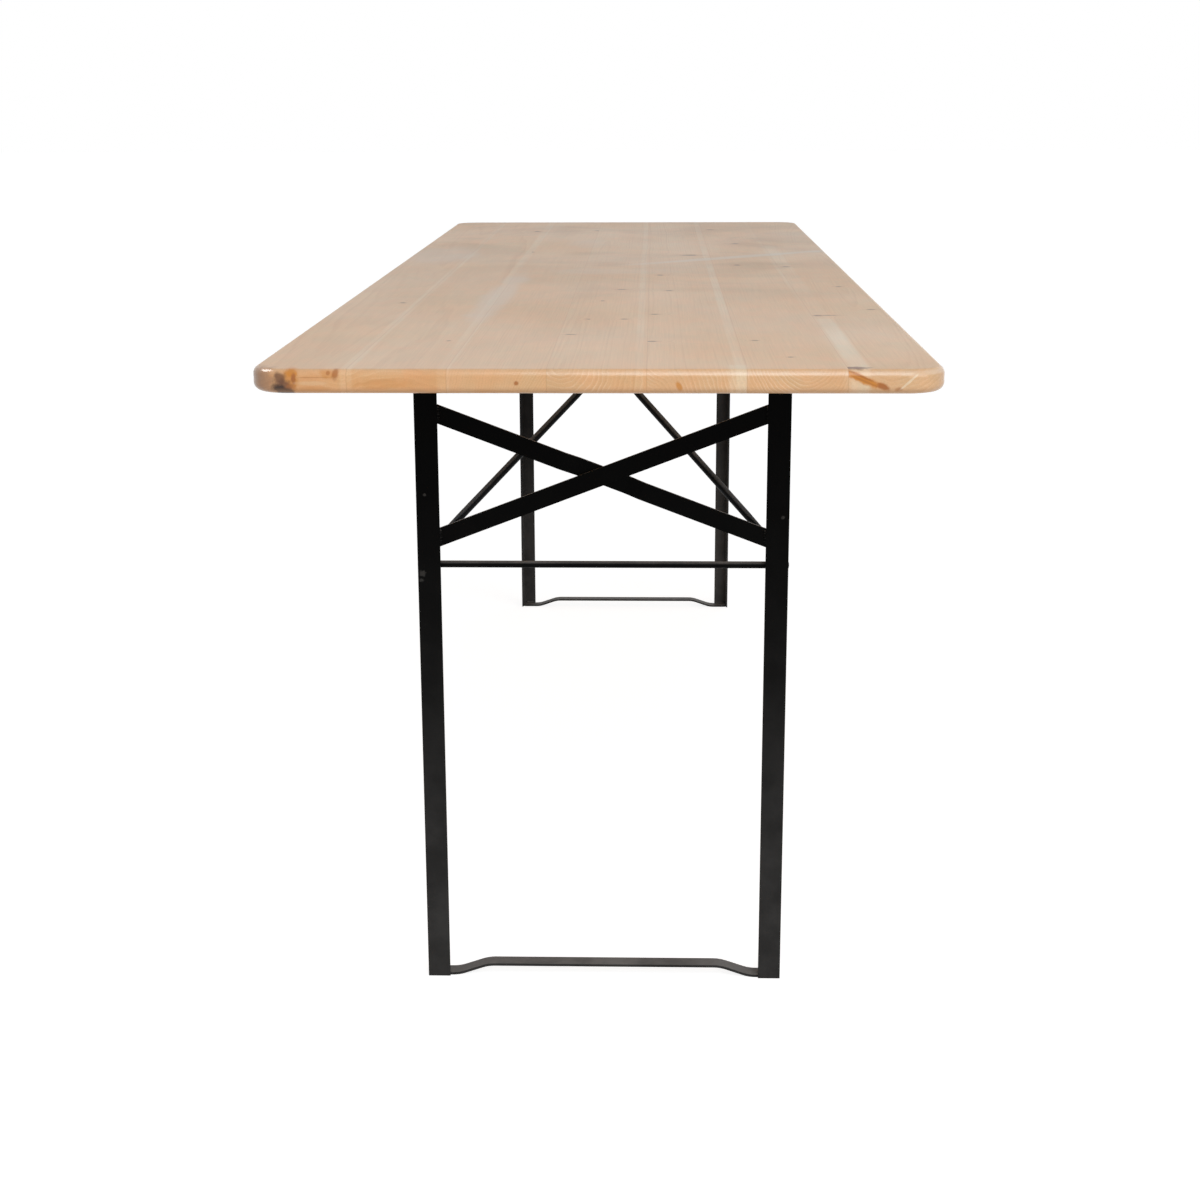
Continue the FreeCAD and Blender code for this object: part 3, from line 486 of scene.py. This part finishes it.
class PineBoard:
    """Lacquered pine: growth rings about a pith, fibres, knots, sapwood, wear and glue lines."""

    def __init__(self, index, low, high):
        self.grain = BOARD_GRAIN[index]
        self.low = low
        self.high = high
        self.shader = Shader(f"pine_{index + 1}")
        self.place = self.shader.place()
        self.x, self.y, self.z = self.shader.parts(self.place)
        shift = tuple(index * part for part in BOARD_SHIFT)
        self.own = self.shader.vector("ADD", self.place, shift)
        self.sway_x, self.sway_z = self.sway()
        self.fibre = self.shader.pattern(self.own, *FIBRES)
        self.cloud = self.shader.pattern(self.own, *CLOUDS)
        self.blotch = self.shader.pattern(self.own, *BLOTCHES)
        self.sheen = self.shader.pattern(self.place, *SHEEN)
        self.ragged = self.shader.about_zero(self.shader.pattern(self.own, *RAGGED_EDGES), RAGGED_SHARE)
        _, normal_y, self.normal_z = self.shader.parts(self.shader.normal())
        self.end_grain = self.shader.step(self.shader.math("ABSOLUTE", normal_y), *END_FACING)
        self.knot_cores = []
        self.knot_rims = []
        self.knot_flame = 0.0

    def holds(self, across, reach=0.0):
        """Whether a mark with a reach to both sides lies on this board."""
        return self.low.x - reach <= across * MILLIMETRE < self.high.x + reach

    def sway(self):
        """How far the wood's pith wanders along the board, across and upwards."""
        shader = self.shader
        sway = shader.noise(shader.vector("MULTIPLY", self.own, RING_SWAY), 1.0)["Color"]
        sway = shader.vector("SUBTRACT", sway, (NOISE_MEAN,) * 3)
        across, _, upwards = shader.parts(shader.vector("MULTIPLY", sway, SWAY_REACH))
        return across, upwards

    def ring_radius(self):
        """The distance from the wood's pith, which wanders and drifts along the board."""
        shader = self.shader
        run = shader.less(self.y, TABLE_NEAR_END)
        middle = ((self.low.x + self.high.x) / 2, TOP_MIDDLE)
        squares = []
        for axis, (value, wander) in enumerate([(self.x, self.sway_x), (self.z, self.sway_z)]):
            pith = middle[axis] + self.grain["pith"][axis] * MILLIMETRE
            drift = shader.times(run, self.grain["drift"][axis] * MILLIMETRE)
            offset = shader.add(shader.less(shader.less(value, pith), drift), wander)
            squares.append(shader.times(offset, offset))
        return shader.math("SQRT", shader.add(*squares))

    def bend_round_knots(self, radius):
        """The ring radius where the rings flow round the knots, whose shapes are kept for later."""
        shader = self.shader
        for knot_x, knot_y, half_width, half_length in KNOTS:
            if self.holds(knot_x):
                centre = (knot_x * MILLIMETRE, along(knot_y), TOP_SURFACE)
                half = Vector((half_width * MILLIMETRE, half_length * MILLIMETRE, KNOT_DEPTH))
                core = tuple(half * KNOT_CORE["size"])
                rim = tuple(half * KNOT_RIM["size"])
                flame = tuple(half * KNOT_FLAME["size"])
                core = mark(shader, self.place, centre, core, self.ragged, soft=KNOT_CORE["soft"])
                rim = mark(shader, self.place, centre, rim, self.ragged, soft=KNOT_RIM["soft"])
                flame = mark(shader, self.place, centre, flame, 0.0, soft=KNOT_FLAME["soft"])
                radius = shader.add(radius, shader.times(flame, half_width * MILLIMETRE))
                self.knot_cores.append(core)
                self.knot_rims.append(rim)
                self.knot_flame = shader.math("MAXIMUM", flame, self.knot_flame)
        return radius

    def ringed(self):
        """Bare wood with dark late wood, which is kept for the relief, and pale early wood."""
        shader = self.shader
        radius = self.bend_round_knots(self.ring_radius())
        wobble = shader.times(shader.pattern(self.own, *RING_WOBBLE), WOBBLE_TURNS)
        turns = shader.add(shader.times(radius, 1 / (self.grain["ring"] * MILLIMETRE)), wobble)
        ring = shader.math("FRACT", turns)
        line = {"noise_dimensions": "1D"}
        year = shader.node("ShaderNodeTexNoise", line, W=turns, Scale=YEAR_SCALE, Detail=YEAR_DETAIL)
        late = shader.times(shader.step(ring, *LATE_RISE), shader.step(ring, *LATE_FALL))
        self.late = shader.times(late, shader.step(year.outputs["Fac"], *YEAR_STRENGTH))
        figure = shader.step(self.cloud, *FIGURE_SHARE)
        figure = shader.add(figure, shader.times(self.knot_flame, FLAME_FIGURE))
        figure = shader.times(figure, shader.step(self.end_grain, *FIGURE_ON_END))
        figure = shader.add(figure, shader.times(self.end_grain, CLEAR_RINGS * self.grain["clear"]))
        colour = shader.mix(shader.times(self.late, figure), PINE_EARLY, PINE_LATE)
        pale = shader.times(shader.step(ring, *PALE_RISE), shader.step(ring, *PALE_FALL))
        pale = shader.times(pale, self.end_grain)
        pale = shader.times(pale, shader.step(self.cloud, *PALE_RING_SHARE))
        colour = shader.mix(shader.times(pale, self.grain["clear"]), colour, PINE_WHITE)
        return shader.mix(shader.step(self.cloud, *PALE_CLOUD_SHARE), colour, PINE_PALE)

    def with_sapwood(self, colour):
        """Pale strips along the top."""
        shader = self.shader
        for strip_x, half_width, reach, share in SAPWOOD:
            half = half_width * MILLIMETRE
            if self.holds(strip_x, half):
                swayed = shader.add(self.x, shader.times(self.sway_x, SAPWOOD_SWAY))
                aside = shader.math("ABSOLUTE", shader.less(swayed, strip_x * MILLIMETRE))
                strip = shader.step(aside, *(half * part for part in SAPWOOD_EDGE), share, 0.0)
                run_out = shader.step(self.y, along(reach - SAPWOOD_FADE), along(reach), 1.0, 0.0)
                strip = shader.times(shader.times(strip, run_out), shader.step(self.cloud, *SAPWOOD_PATCHES))
                colour = shader.mix(strip, colour, PINE_WHITE)
        return colour

    def shaded(self, colour):
        """Faint pink and ashen mottling, weathering of the upper face, fibres, a painted sheen in patches,
        and painted shade towards the far end.
        """
        shader = self.shader
        for pattern in (shader.pattern(self.place, *MOTTLE), self.blotch):
            mottle = shader.mix(shader.step(pattern, *MOTTLE_SHARE), PINK_SHADE, ASH_SHADE)
            colour = shader.shade(colour, mottle)
        colour = shader.shade(colour, WEATHERED_SHADE, shader.step(self.normal_z, *TOP_FACING))
        # Painted shade towards the far end, and a painted sheen in patches
        far_end_shade = shader.step(self.y, *FAR_END_SHADE_STEP)
        sheen = shader.step(self.sheen, *SHEEN_STEP, far_end_shade, SHEEN_BRIGHTNESS)
        brightness = shader.times(shader.step(self.fibre, *FIBRE_BRIGHTNESS), sheen)
        return shader.shade(colour, shader.grey(brightness))

    def patches(self, wear, soft):
        """The patches of a list that reach this board, each with its brightness or share."""
        torn = self.shader.about_zero(self.sheen, TORN_SHARE)
        for across, from_near_end, half_x, half_y, turn, share in wear:
            if self.holds(across, max(half_x, half_y) * MILLIMETRE):
                centre = (across * MILLIMETRE, along(from_near_end), TOP_SURFACE)
                half = (half_x * MILLIMETRE, half_y * MILLIMETRE, PATCH_DEPTH)
                yield mark(self.shader, self.place, centre, half, torn, turn, soft, "Z_AXIS"), share

    def worn(self, colour):
        """Painted dark reflections, and paler patches with a painted reflection streak, on the top; the
        board's own tint; and a painted highlight on the upper arris.
        """
        shader = self.shader
        # Painted dark reflections, warmer where they are darker
        for patch, brightness in self.patches(DARK_REFLECTIONS, DARK_REFLECTIONS_SOFT):
            darkened = tuple(brightness ** power for power in DARK_REFLECTIONS_POWERS) + (1.0,)
            colour = shader.shade(colour, darkened, patch)
        # Paler patches, partly painted sheen, and a streak that is a painted reflection
        for patch, share in self.patches(PALER_AND_REFLECTED, PALER_AND_REFLECTED_SOFT):
            colour = shader.mix(shader.times(patch, share), colour, PINE_BLEACHED_AND_SHEEN)
        tint = self.grain["tint"] + (1.0,)
        colour = shader.shade(colour, tint, shader.step(self.end_grain, *BOARD_TINT_SHARE))
        # Painted highlight along the upper arris of the ends, stronger towards the right
        arris = shader.times(shader.step(self.normal_z, *ARRIS_LOW), shader.step(self.normal_z, *ARRIS_HIGH))
        arris_highlight = shader.times(arris, shader.step(self.x, *ARRIS_HIGHLIGHT_ACROSS))
        arris_highlight = shader.times(arris_highlight, shader.step(self.blotch, *ARRIS_HIGHLIGHT_BLOTCHES))
        return shader.mix(arris_highlight, colour, PINE_ARRIS_HIGHLIGHT)

    def marked(self, colour):
        """Pores in the end grain, knots, and the marks of the near end."""
        shader = self.shader
        pores = shader.step(shader.pattern(self.place, *PORES), *PORE_SHARE)
        pores = shader.times(pores, shader.times(self.end_grain, END_PORES))
        colour = shader.mix(pores, colour, PINE_LATE)
        for core, rim in zip(self.knot_cores, self.knot_rims):
            colour = shader.mix(shader.times(rim, KNOT_RIM["share"]), colour, PINE_KNOT_RIM)
            colour = shader.mix(shader.times(core, KNOT_CORE["share"]), colour, PINE_KNOT)
        for across, from_near_end, below, half_x, half_y, half_z, slope, paint, share in END_MARKS:
            if self.holds(across):
                centre = (across * MILLIMETRE, along(from_near_end), TOP_SURFACE - below * MILLIMETRE)
                half = (half_x * MILLIMETRE, half_y * MILLIMETRE, half_z * MILLIMETRE)
                spot = mark(shader, self.place, centre, half, self.ragged, slope, END_MARK_SOFT)
                colour = shader.mix(shader.times(spot, share), colour, paint)
        return colour

    def glued_and_shaded(self, colour):
        """The glue line at each side, and painted shade along the lower edge of the ends."""
        shader = self.shader
        side = shader.math("MINIMUM", shader.less(self.x, self.low.x), shader.less(self.high.x, self.x))
        seam = shader.step(side, GLUE_LINE * GLUE_LINE_CORE, GLUE_LINE, GLUE_LINE_SHARE, 0.0)
        colour = shader.mix(seam, colour, PINE_KNOT_RIM)
        # Painted shade, darker and warmer along the lower edge of the ends
        lower_edge_shade = shader.step(self.z, TOP_UNDERSIDE, TOP_UNDERSIDE + LOWER_EDGE_SHADE_HEIGHT, LOWER_EDGE_SHADE_SHARE, 0.0)
        return shader.mix(shader.times(lower_edge_shade, self.end_grain), colour, PINE_LATE)

    def material(self):
        shader = self.shader
        colour = self.shaded(self.with_sapwood(self.ringed()))
        colour = self.glued_and_shaded(self.marked(self.worn(colour)))
        roughness = shader.step(shader.pattern(self.place, *GLOSS_PATCHES), *ROUGHNESS_STEP)
        relief = shader.times(shader.add(self.late, self.fibre), 0.5)
        return shader.surface(
            Base_Color=colour,
            Roughness=shader.times(roughness, shader.step(self.normal_z, *EDGE_GLOSS)),
            Specular_IOR_Level=PINE_SPECULAR,
            Normal=shader.bump(relief, PINE_RELIEF, RELIEF_STRENGTH),
        )


def batten_wood():
    """Planed batten wood with fine straight grain across the table."""
    shader = Shader("batten_wood_grain")
    place = shader.place()
    fibre = shader.pattern(place, *BATTEN_FIBRES)
    figure = shader.pattern(place, *BATTEN_FIGURE)
    colour = shader.mix(shader.step(figure, *BATTEN_FIGURE_SHARE), BATTEN_EARLY, BATTEN_LATE)
    colour = shader.mix(shader.step(fibre, *BATTEN_FIBRE_SHARE), colour, BATTEN_LATE)
    return shader.surface(
        Base_Color=colour,
        Roughness=shader.step(fibre, *BATTEN_ROUGHNESS),
        Specular_IOR_Level=BATTEN_SPECULAR,
        Normal=shader.bump(fibre, BATTEN_RELIEF, RELIEF_STRENGTH),
    )


def dusty_lit_black(shader, place, patch, base_grey, slopes, tint):
    """Black with dust and a painted floor light that thin out with height, and settled dust with painted
    light on upward faces.
    """
    # Dust with painted floor light, lighter towards the floor, and settled dust with painted light on upward
    # faces
    height = shader.times(shader.parts(place)[2], 1 / DUST_AND_FLOOR_LIGHT_HEIGHT)
    falling = shader.math("EXPONENT", shader.times(shader.times(height, height), -1.0))
    dust_and_floor_light = shader.times(falling, DUST_AND_FLOOR_LIGHT_GREY)
    settled_and_lit = shader.step(shader.parts(shader.normal())[2], *slopes, 0.0, SETTLED_DUST_AND_LIGHT)
    grey = shader.add(shader.add(dust_and_floor_light, settled_and_lit), base_grey)
    grey = shader.times(grey, shader.step(patch, *DUST_THICKNESS))
    red, green, blue = (shader.times(grey, share) for share in tint)
    return shader.node("ShaderNodeCombineColor", Red=red, Green=green, Blue=blue).outputs[0]


def black_enamel(name, base_grey, slopes=LIT_DUST_SLOPES, tint=DUST_AND_LIGHT_TINT):
    """Black enamel on mild steel: orange peel, dust with painted light, worn edges and chips."""
    shader = Shader(name)
    place = shader.place()
    peel = shader.noise(place, *ORANGE_PEEL)["Fac"]
    patch = shader.noise(place, *ENAMEL_PATCHES)["Fac"]
    speck = shader.noise(place, *ENAMEL_SPECKS)["Fac"]
    colour = dusty_lit_black(shader, place, patch, base_grey, slopes, tint)

    rounded = shader.node("ShaderNodeBevel", {"samples": EDGE_SAMPLES}, Radius=EDGE_RADIUS).outputs[0]
    flat = shader.tree.nodes.new("ShaderNodeNewGeometry").outputs["Normal"]
    apart = shader.vector("LENGTH", shader.vector("SUBTRACT", rounded, flat))
    worn = shader.times(shader.step(apart, *EDGE_SHARPNESS), shader.step(speck, *EDGE_SPECKS))
    colour = shader.mix(shader.times(worn, WORN_SHARE), colour, WORN_COLOUR)
    ragged = shader.about_zero(speck, CHIP_RAGGED)
    for chip_x, chip_z, half in CHIPS:
        centre = (chip_x * MILLIMETRE, CHIPPED_FACE, chip_z * MILLIMETRE)
        spot = mark(shader, place, centre, (half * MILLIMETRE,) * 3, ragged)
        colour = shader.mix(shader.times(spot, WORN_SHARE), colour, CHIP_COLOUR)
    return shader.surface(
        Base_Color=colour,
        Roughness=shader.step(patch, *ENAMEL_ROUGHNESS),
        Specular_IOR_Level=ENAMEL_SPECULAR,
        Normal=shader.bump(peel, PEEL_RELIEF, PEEL_STRENGTH, rounded),
    )


def bare_steel(name, colour, roughness):
    """Plated steel with fine rolling marks and a cloudy tarnish."""
    shader = Shader(name)
    place = shader.place()
    cloud = shader.noise(place, *TARNISH_CLOUDS)["Fac"]
    rolled = shader.pattern(place, *ROLLING_MARKS)
    darker = tuple(TARNISH_DARKNESS * part for part in colour[:3]) + (1.0,)
    return shader.surface(
        Base_Color=shader.mix(shader.step(cloud, *TARNISH_SHARE), colour, darker),
        Metallic=1.0,
        Roughness=shader.step(cloud, *TARNISH_STEP, roughness, roughness + TARNISH_ROUGHNESS),
        Normal=shader.bump(rolled, ROLLING_RELIEF, ROLLING_STRENGTH),
    )


def groups(name, reach):
    """The corners of a CAD node in groups, each within a reach of its first corner, as boxes."""
    found = []
    for vertex in nodes[name].data.vertices:
        near = [group for group in found if (vertex.co - group[0]).xy.length < reach]
        near = [group for group in near if abs(vertex.co.z - group[0].z) < GROUP_HEIGHT]
        if near:
            near[0].append(vertex.co.copy())
        else:
            found.append([vertex.co.copy()])
    boxes = []
    for group in found:
        low = Vector(min(corner[axis] for corner in group) for axis in range(3))
        high = Vector(max(corner[axis] for corner in group) for axis in range(3))
        boxes.append((low, high))
    return boxes


def piece(name, vertices, faces, node, body, material):
    """A mesh that is shown for a CAD node, moves with its body and takes its material slot."""
    mesh = bpy.data.meshes.new(name)
    mesh.from_pydata(vertices, [], faces)
    shape = bmesh.new()
    shape.from_mesh(mesh)
    bmesh.ops.recalc_face_normals(shape, faces=shape.faces)
    shape.to_mesh(mesh)
    shape.free()
    mesh.shade_smooth()
    mesh.set_sharp_from_angle(angle=SMOOTH_ANGLE)
    mesh.materials.append(material)
    made = bpy.data.objects.new(name, mesh)
    bpy.context.scene.collection.objects.link(made)
    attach(made, body)
    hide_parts(node)


def ring_faces(first, second, count):
    """Faces between two rings of corners, given by the number of each ring's first corner."""
    following = [(number + 1) % count for number in range(count)]
    return [(first + i, first + j, second + j, second + i) for i, j in enumerate(following)]


def fan_faces(tip, first, count):
    """Faces between a corner and a ring of corners."""
    return [(tip, first + number, first + (number + 1) % count) for number in range(count)]


def cross_outline(angle):
    """How far a cross recess reaches from its middle in a direction."""
    across = abs(math.cos(angle))
    upwards = abs(math.sin(angle))
    narrow = max(min(across, upwards), NEARLY_ZERO)
    return min(RECESS_HALF_LENGTH / max(across, upwards), RECESS_HALF_WIDTH / narrow)


def dome_height(share):
    """How far the dome of a screw head falls away at a share of the head's radius."""
    rest = 1 - min(share, 1.0) ** DOME_ROUNDNESS
    return HEAD_HEIGHT * (1 - rest ** (1 / DOME_ROUNDNESS))


def recess_angles():
    """Directions about a screw's axis, with those of the cross recess's corners among them."""
    corner = math.degrees(math.atan2(RECESS_HALF_WIDTH, RECESS_HALF_LENGTH))
    quarter = [0.0, corner, *RECESS_ANGLES, 90.0 - corner]
    return [math.radians(90.0 * turn + angle) for turn in range(4) for angle in quarter]


def screw_rings(low, high, angles):
    """Rings of a screw from its recess's floor to its point, as a radius and a height per direction."""
    head = (high.x - low.x) / 2
    outline = [cross_outline(angle) for angle in angles]
    rings = [[(RECESS_FLOOR_SHARE * reach, low.z + RECESS_DEPTH) for reach in outline]]
    rings.append([(reach, low.z + dome_height(reach / head)) for reach in outline])
    for share in HEAD_RINGS:
        rings.append([(share * head, low.z + dome_height(share))] * len(angles))
    for height in (low.z + HEAD_HEIGHT, high.z - POINT_LENGTH):
        rings.append([(SHANK_RADIUS, height)] * len(angles))
    return rings


def crosshead_screws(node, material):
    """Domed screw heads with cross recesses, seen from below, each stopped at an angle of its own."""
    angles = recess_angles()
    count = len(angles)
    vertices = []
    faces = []
    for index, (low, high) in enumerate(groups(node, SCREW_REACH)):
        middle = (low + high) / 2
        rings = screw_rings(low, high, angles)
        start = len(vertices)
        vertices.append((middle.x, middle.y, low.z + RECESS_DEPTH))
        for ring in rings:
            for angle, (radius, height) in zip(angles, ring):
                turned = angle + index * SCREW_TURN
                across = middle.x + radius * math.cos(turned)
                vertices.append((across, middle.y + radius * math.sin(turned), height))
        tip = len(vertices)
        vertices.append((middle.x, middle.y, high.z))
        first = start + 1
        for number in range(len(rings) - 1):
            faces += ring_faces(first + number * count, first + (number + 1) * count, count)
        faces += fan_faces(start, first, count)
        faces += fan_faces(tip, tip - count, count)
    piece(f"{node}_crosshead", vertices, faces, node, "table_top", material)


def bead_corner(low, high, upright):
    """The corner that a weld bead fills, and the way from it into the bead."""
    corner = low.copy()
    inward = Vector((1.0, 1.0, 1.0))
    outer_y, inner_y = (low.y, high.y) if abs(low.y) > abs(high.y) else (high.y, low.y)
    corner.y = inner_y if upright else outer_y
    inward.y = 1.0 if corner.y == low.y else -1.0
    if upright:
        corner.x = low.x if abs(low.x) > abs(high.x) else high.x
        inward.x = 1.0 if corner.x == low.x else -1.0
    return corner, inward


def bead_swell(run_length, length):
    """How full a weld bead is at a length from its start: rippled, and rounded off at its ends."""
    ripple = 1 - RIPPLE_SHARE * abs(math.sin(math.pi * run_length / RIPPLE_PITCH))
    to_end = min(run_length, length - run_length)
    ending = 1 - min(to_end / BEAD_TAPER, 1.0)
    return ripple * math.sqrt(max(1 - ending ** 2, BEAD_END_SHARE ** 2))


def rippled_welds(node, body, material):
    """Weld beads with the ripples of a moving torch, each in the corner between a bar and a leg."""
    vertices = []
    faces = []
    count = ARC_STEPS + 2
    for low, high in groups(node, BEAD_REACH):
        size = high - low
        upright = size.z > size.x
        run, first, second = (2, 0, 1) if upright else (0, 1, 2)
        corner, inward = bead_corner(low, high, upright)
        radius = min(size[first], size[second])
        steps = round(size[run] / BEAD_STEP)
        start = len(vertices)
        for number in range(steps + 1):
            run_length = size[run] * number / steps
            reach = radius * bead_swell(run_length, size[run])
            centre = corner.copy()
            centre[run] = low[run] + run_length
            vertices.append(tuple(centre))
            for step in range(ARC_STEPS + 1):
                angle = math.pi / 2 * step / ARC_STEPS
                point = centre.copy()
                point[first] += inward[first] * reach * math.cos(angle)
                point[second] += inward[second] * reach * math.sin(angle)
                vertices.append(tuple(point))
            if number:
                faces += ring_faces(start + (number - 1) * count, start + number * count, count)
        faces.append(tuple(range(start, start + count)))
        faces.append(tuple(range(len(vertices) - count, len(vertices))))
    piece(f"{node}_rippled", vertices, faces, node, body, material)


def dress(names, material):
    """Gives CAD nodes a material."""
    for name in names:
        for slot in nodes[name].material_slots:
            slot.material = material


def dress_table():
    """Materials for all CAD nodes, and finer pieces for the screws and welds."""
    for index in range(len(BOARD_GRAIN)):
        name = f"board_{index + 1}"
        dress([name], PineBoard(index, *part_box(name)).material())
    by_slot = {}
    for part in frame["record"]["subparts"]:
        by_slot.setdefault(part["material_slot"], []).append(part["node"])
    dress(by_slot["batten_wood"], batten_wood())
    enamel = black_enamel("black_enamel", ENAMEL_GREY)
    dress(by_slot["black_paint"], enamel)
    # Lit copies of the enamel for the far legs, whose lighter greys are painted light
    for name, grey in FAR_LEG_LIT_GREY.items():
        dress([name], black_enamel(f"{name}_enamel", grey))
    # A lit copy of the enamel for the braces, with a painted highlight on their upper side
    brace_highlit_enamel = black_enamel("brace_highlit_enamel", BRACE_LIT_GREY, BRACE_HIGHLIGHT_SLOPES, BRACE_HIGHLIGHT_TINT)
    dress(["brace_near", "brace_far"], brace_highlit_enamel)
    dress(by_slot["spring_steel"], bare_steel("spring_steel_plate", **SPRING_STEEL))
    zinc = bare_steel("screw_zinc", **ZINC)
    dress(by_slot["screw_steel"], zinc)
    for node in by_slot["screw_steel"]:
        crosshead_screws(node, zinc)
    for end in ("near", "far"):
        rippled_welds(f"frame_welds_{end}", f"leg_frame_{end}", enamel)


def seen_directly(shader):
    """1 for rays that show the studio itself: to the camera, or by way of a mirror or glass."""
    path = shader.tree.nodes.new("ShaderNodeLightPath").outputs
    seen = shader.math("MAXIMUM", path["Is Camera Ray"], path["Is Glossy Ray"])
    return shader.math("MAXIMUM", seen, path["Is Transmission Ray"])


def studio_floor():
    """A white floor that glows to the camera and keeps a soft part of the table's shadow.

    From below it is clear, so that the underside of the table can be seen.
    """
    half = FLOOR_SIZE / 2
    corners = [(-half, -half, 0), (half, -half, 0), (half, half, 0), (-half, half, 0)]
    mesh = bpy.data.meshes.new("studio_floor")
    mesh.from_pydata(corners, [], [(0, 1, 2, 3)])
    floor = bpy.data.objects.new("studio_floor", mesh)
    bpy.context.scene.collection.objects.link(floor)
    shader = Shader("studio_floor_white")
    matte = shader.node("ShaderNodeBsdfDiffuse", Color=FLOOR_COLOUR).outputs[0]
    shadowed = shader.node("ShaderNodeBsdfDiffuse", Color=FLOOR_SHADOW_COLOUR).outputs[0]
    glow = shader.node("ShaderNodeEmission", Strength=FLOOR_GLOW).outputs[0]
    glowing = shader.tree.nodes.new("ShaderNodeAddShader")
    shader.tree.links.new(shadowed, glowing.inputs[0])
    shader.tree.links.new(glow, glowing.inputs[1])
    above = shader.blend(seen_directly(shader), matte, glowing.outputs[0])
    from_below = shader.tree.nodes.new("ShaderNodeNewGeometry").outputs["Backfacing"]
    clear = shader.tree.nodes.new("ShaderNodeBsdfTransparent").outputs[0]
    mesh.materials.append(shader.end(shader.blend(from_below, above, clear)))


def studio_light():
    """An even sky that shows white, two wide lamps and three softboxes."""
    shader = Shader("studio_sky", sky=True)
    level = shader.math("MULTIPLY_ADD", seen_directly(shader), 1 - SKY_LIGHT, SKY_LIGHT)
    sky = shader.node("ShaderNodeBackground", Color=WHITE, Strength=level).outputs[0]
    bpy.context.scene.world = shader.end(sky)

    soft_sun("key_light", **KEY_LIGHT)
    soft_sun("fill_light", **FILL_LIGHT).visible_glossy = False
    softbox("front_softbox", **FRONT_BOX)
    softbox("top_softbox", **TOP_BOX)
    softbox("corner_glint", **CORNER_GLINT).visible_diffuse = False


def lamp_object(name, lamp, towards):
    """A lamp that shines from the direction it is given."""
    made = bpy.data.objects.new(name, lamp)
    bpy.context.scene.collection.objects.link(made)
    made.rotation_mode = "QUATERNION"
    made.rotation_quaternion = towards.to_track_quat("Z", "Y")
    return made


def soft_sun(name, strength, azimuth, elevation):
    """A wide soft lamp from far away. Azimuth 0 is the camera's side of the table."""
    lamp = bpy.data.lights.new(name, "SUN")
    lamp.energy = strength
    lamp.angle = LAMP_SOFTNESS
    towards = Vector((
        math.sin(azimuth) * math.cos(elevation),
        -math.cos(azimuth) * math.cos(elevation),
        math.sin(elevation),
    ))
    return lamp_object(name, lamp, towards)


def softbox(name, place, size, radiance):
    """A rectangular lamp aimed at the near end of the top."""
    lamp = bpy.data.lights.new(name, "AREA")
    lamp.shape = "RECTANGLE"
    lamp.size, lamp.size_y = size
    lamp.energy = WATTS_PER_RADIANCE * size[0] * size[1] * radiance
    box = lamp_object(name, lamp, place - SOFTBOX_AIM)
    box.location = place
    box.visible_camera = False
    return box


def photo_camera():
    """The camera at the photograph's place, angle and focal length."""
    ahead = Vector((
        math.sin(CAMERA_YAW) * math.cos(CAMERA_PITCH),
        math.cos(CAMERA_YAW) * math.cos(CAMERA_PITCH),
        -math.sin(CAMERA_PITCH),
    ))
    right = Vector((math.cos(CAMERA_YAW), -math.sin(CAMERA_YAW), 0.0))
    down = ahead.cross(right)
    rolled_right = math.cos(CAMERA_ROLL) * right + math.sin(CAMERA_ROLL) * down
    rolled_up = math.sin(CAMERA_ROLL) * right - math.cos(CAMERA_ROLL) * down
    data = bpy.data.cameras.new("photo_camera")
    data.sensor_width = SENSOR_MM
    data.lens = FOCAL_PIXELS / PHOTO_PIXELS * SENSOR_MM
    camera = bpy.data.objects.new("photo_camera", data)
    bpy.context.scene.collection.objects.link(camera)
    axes = Matrix((rolled_right, rolled_up, -ahead)).transposed()
    camera.matrix_world = Matrix.Translation(CAMERA_PLACE) @ axes.to_4x4()
    bpy.context.scene.camera = camera


def main():
    dress_table()
    studio_floor()
    studio_light()
    photo_camera()
    bpy.context.scene.view_settings.view_transform = "Standard"


main()
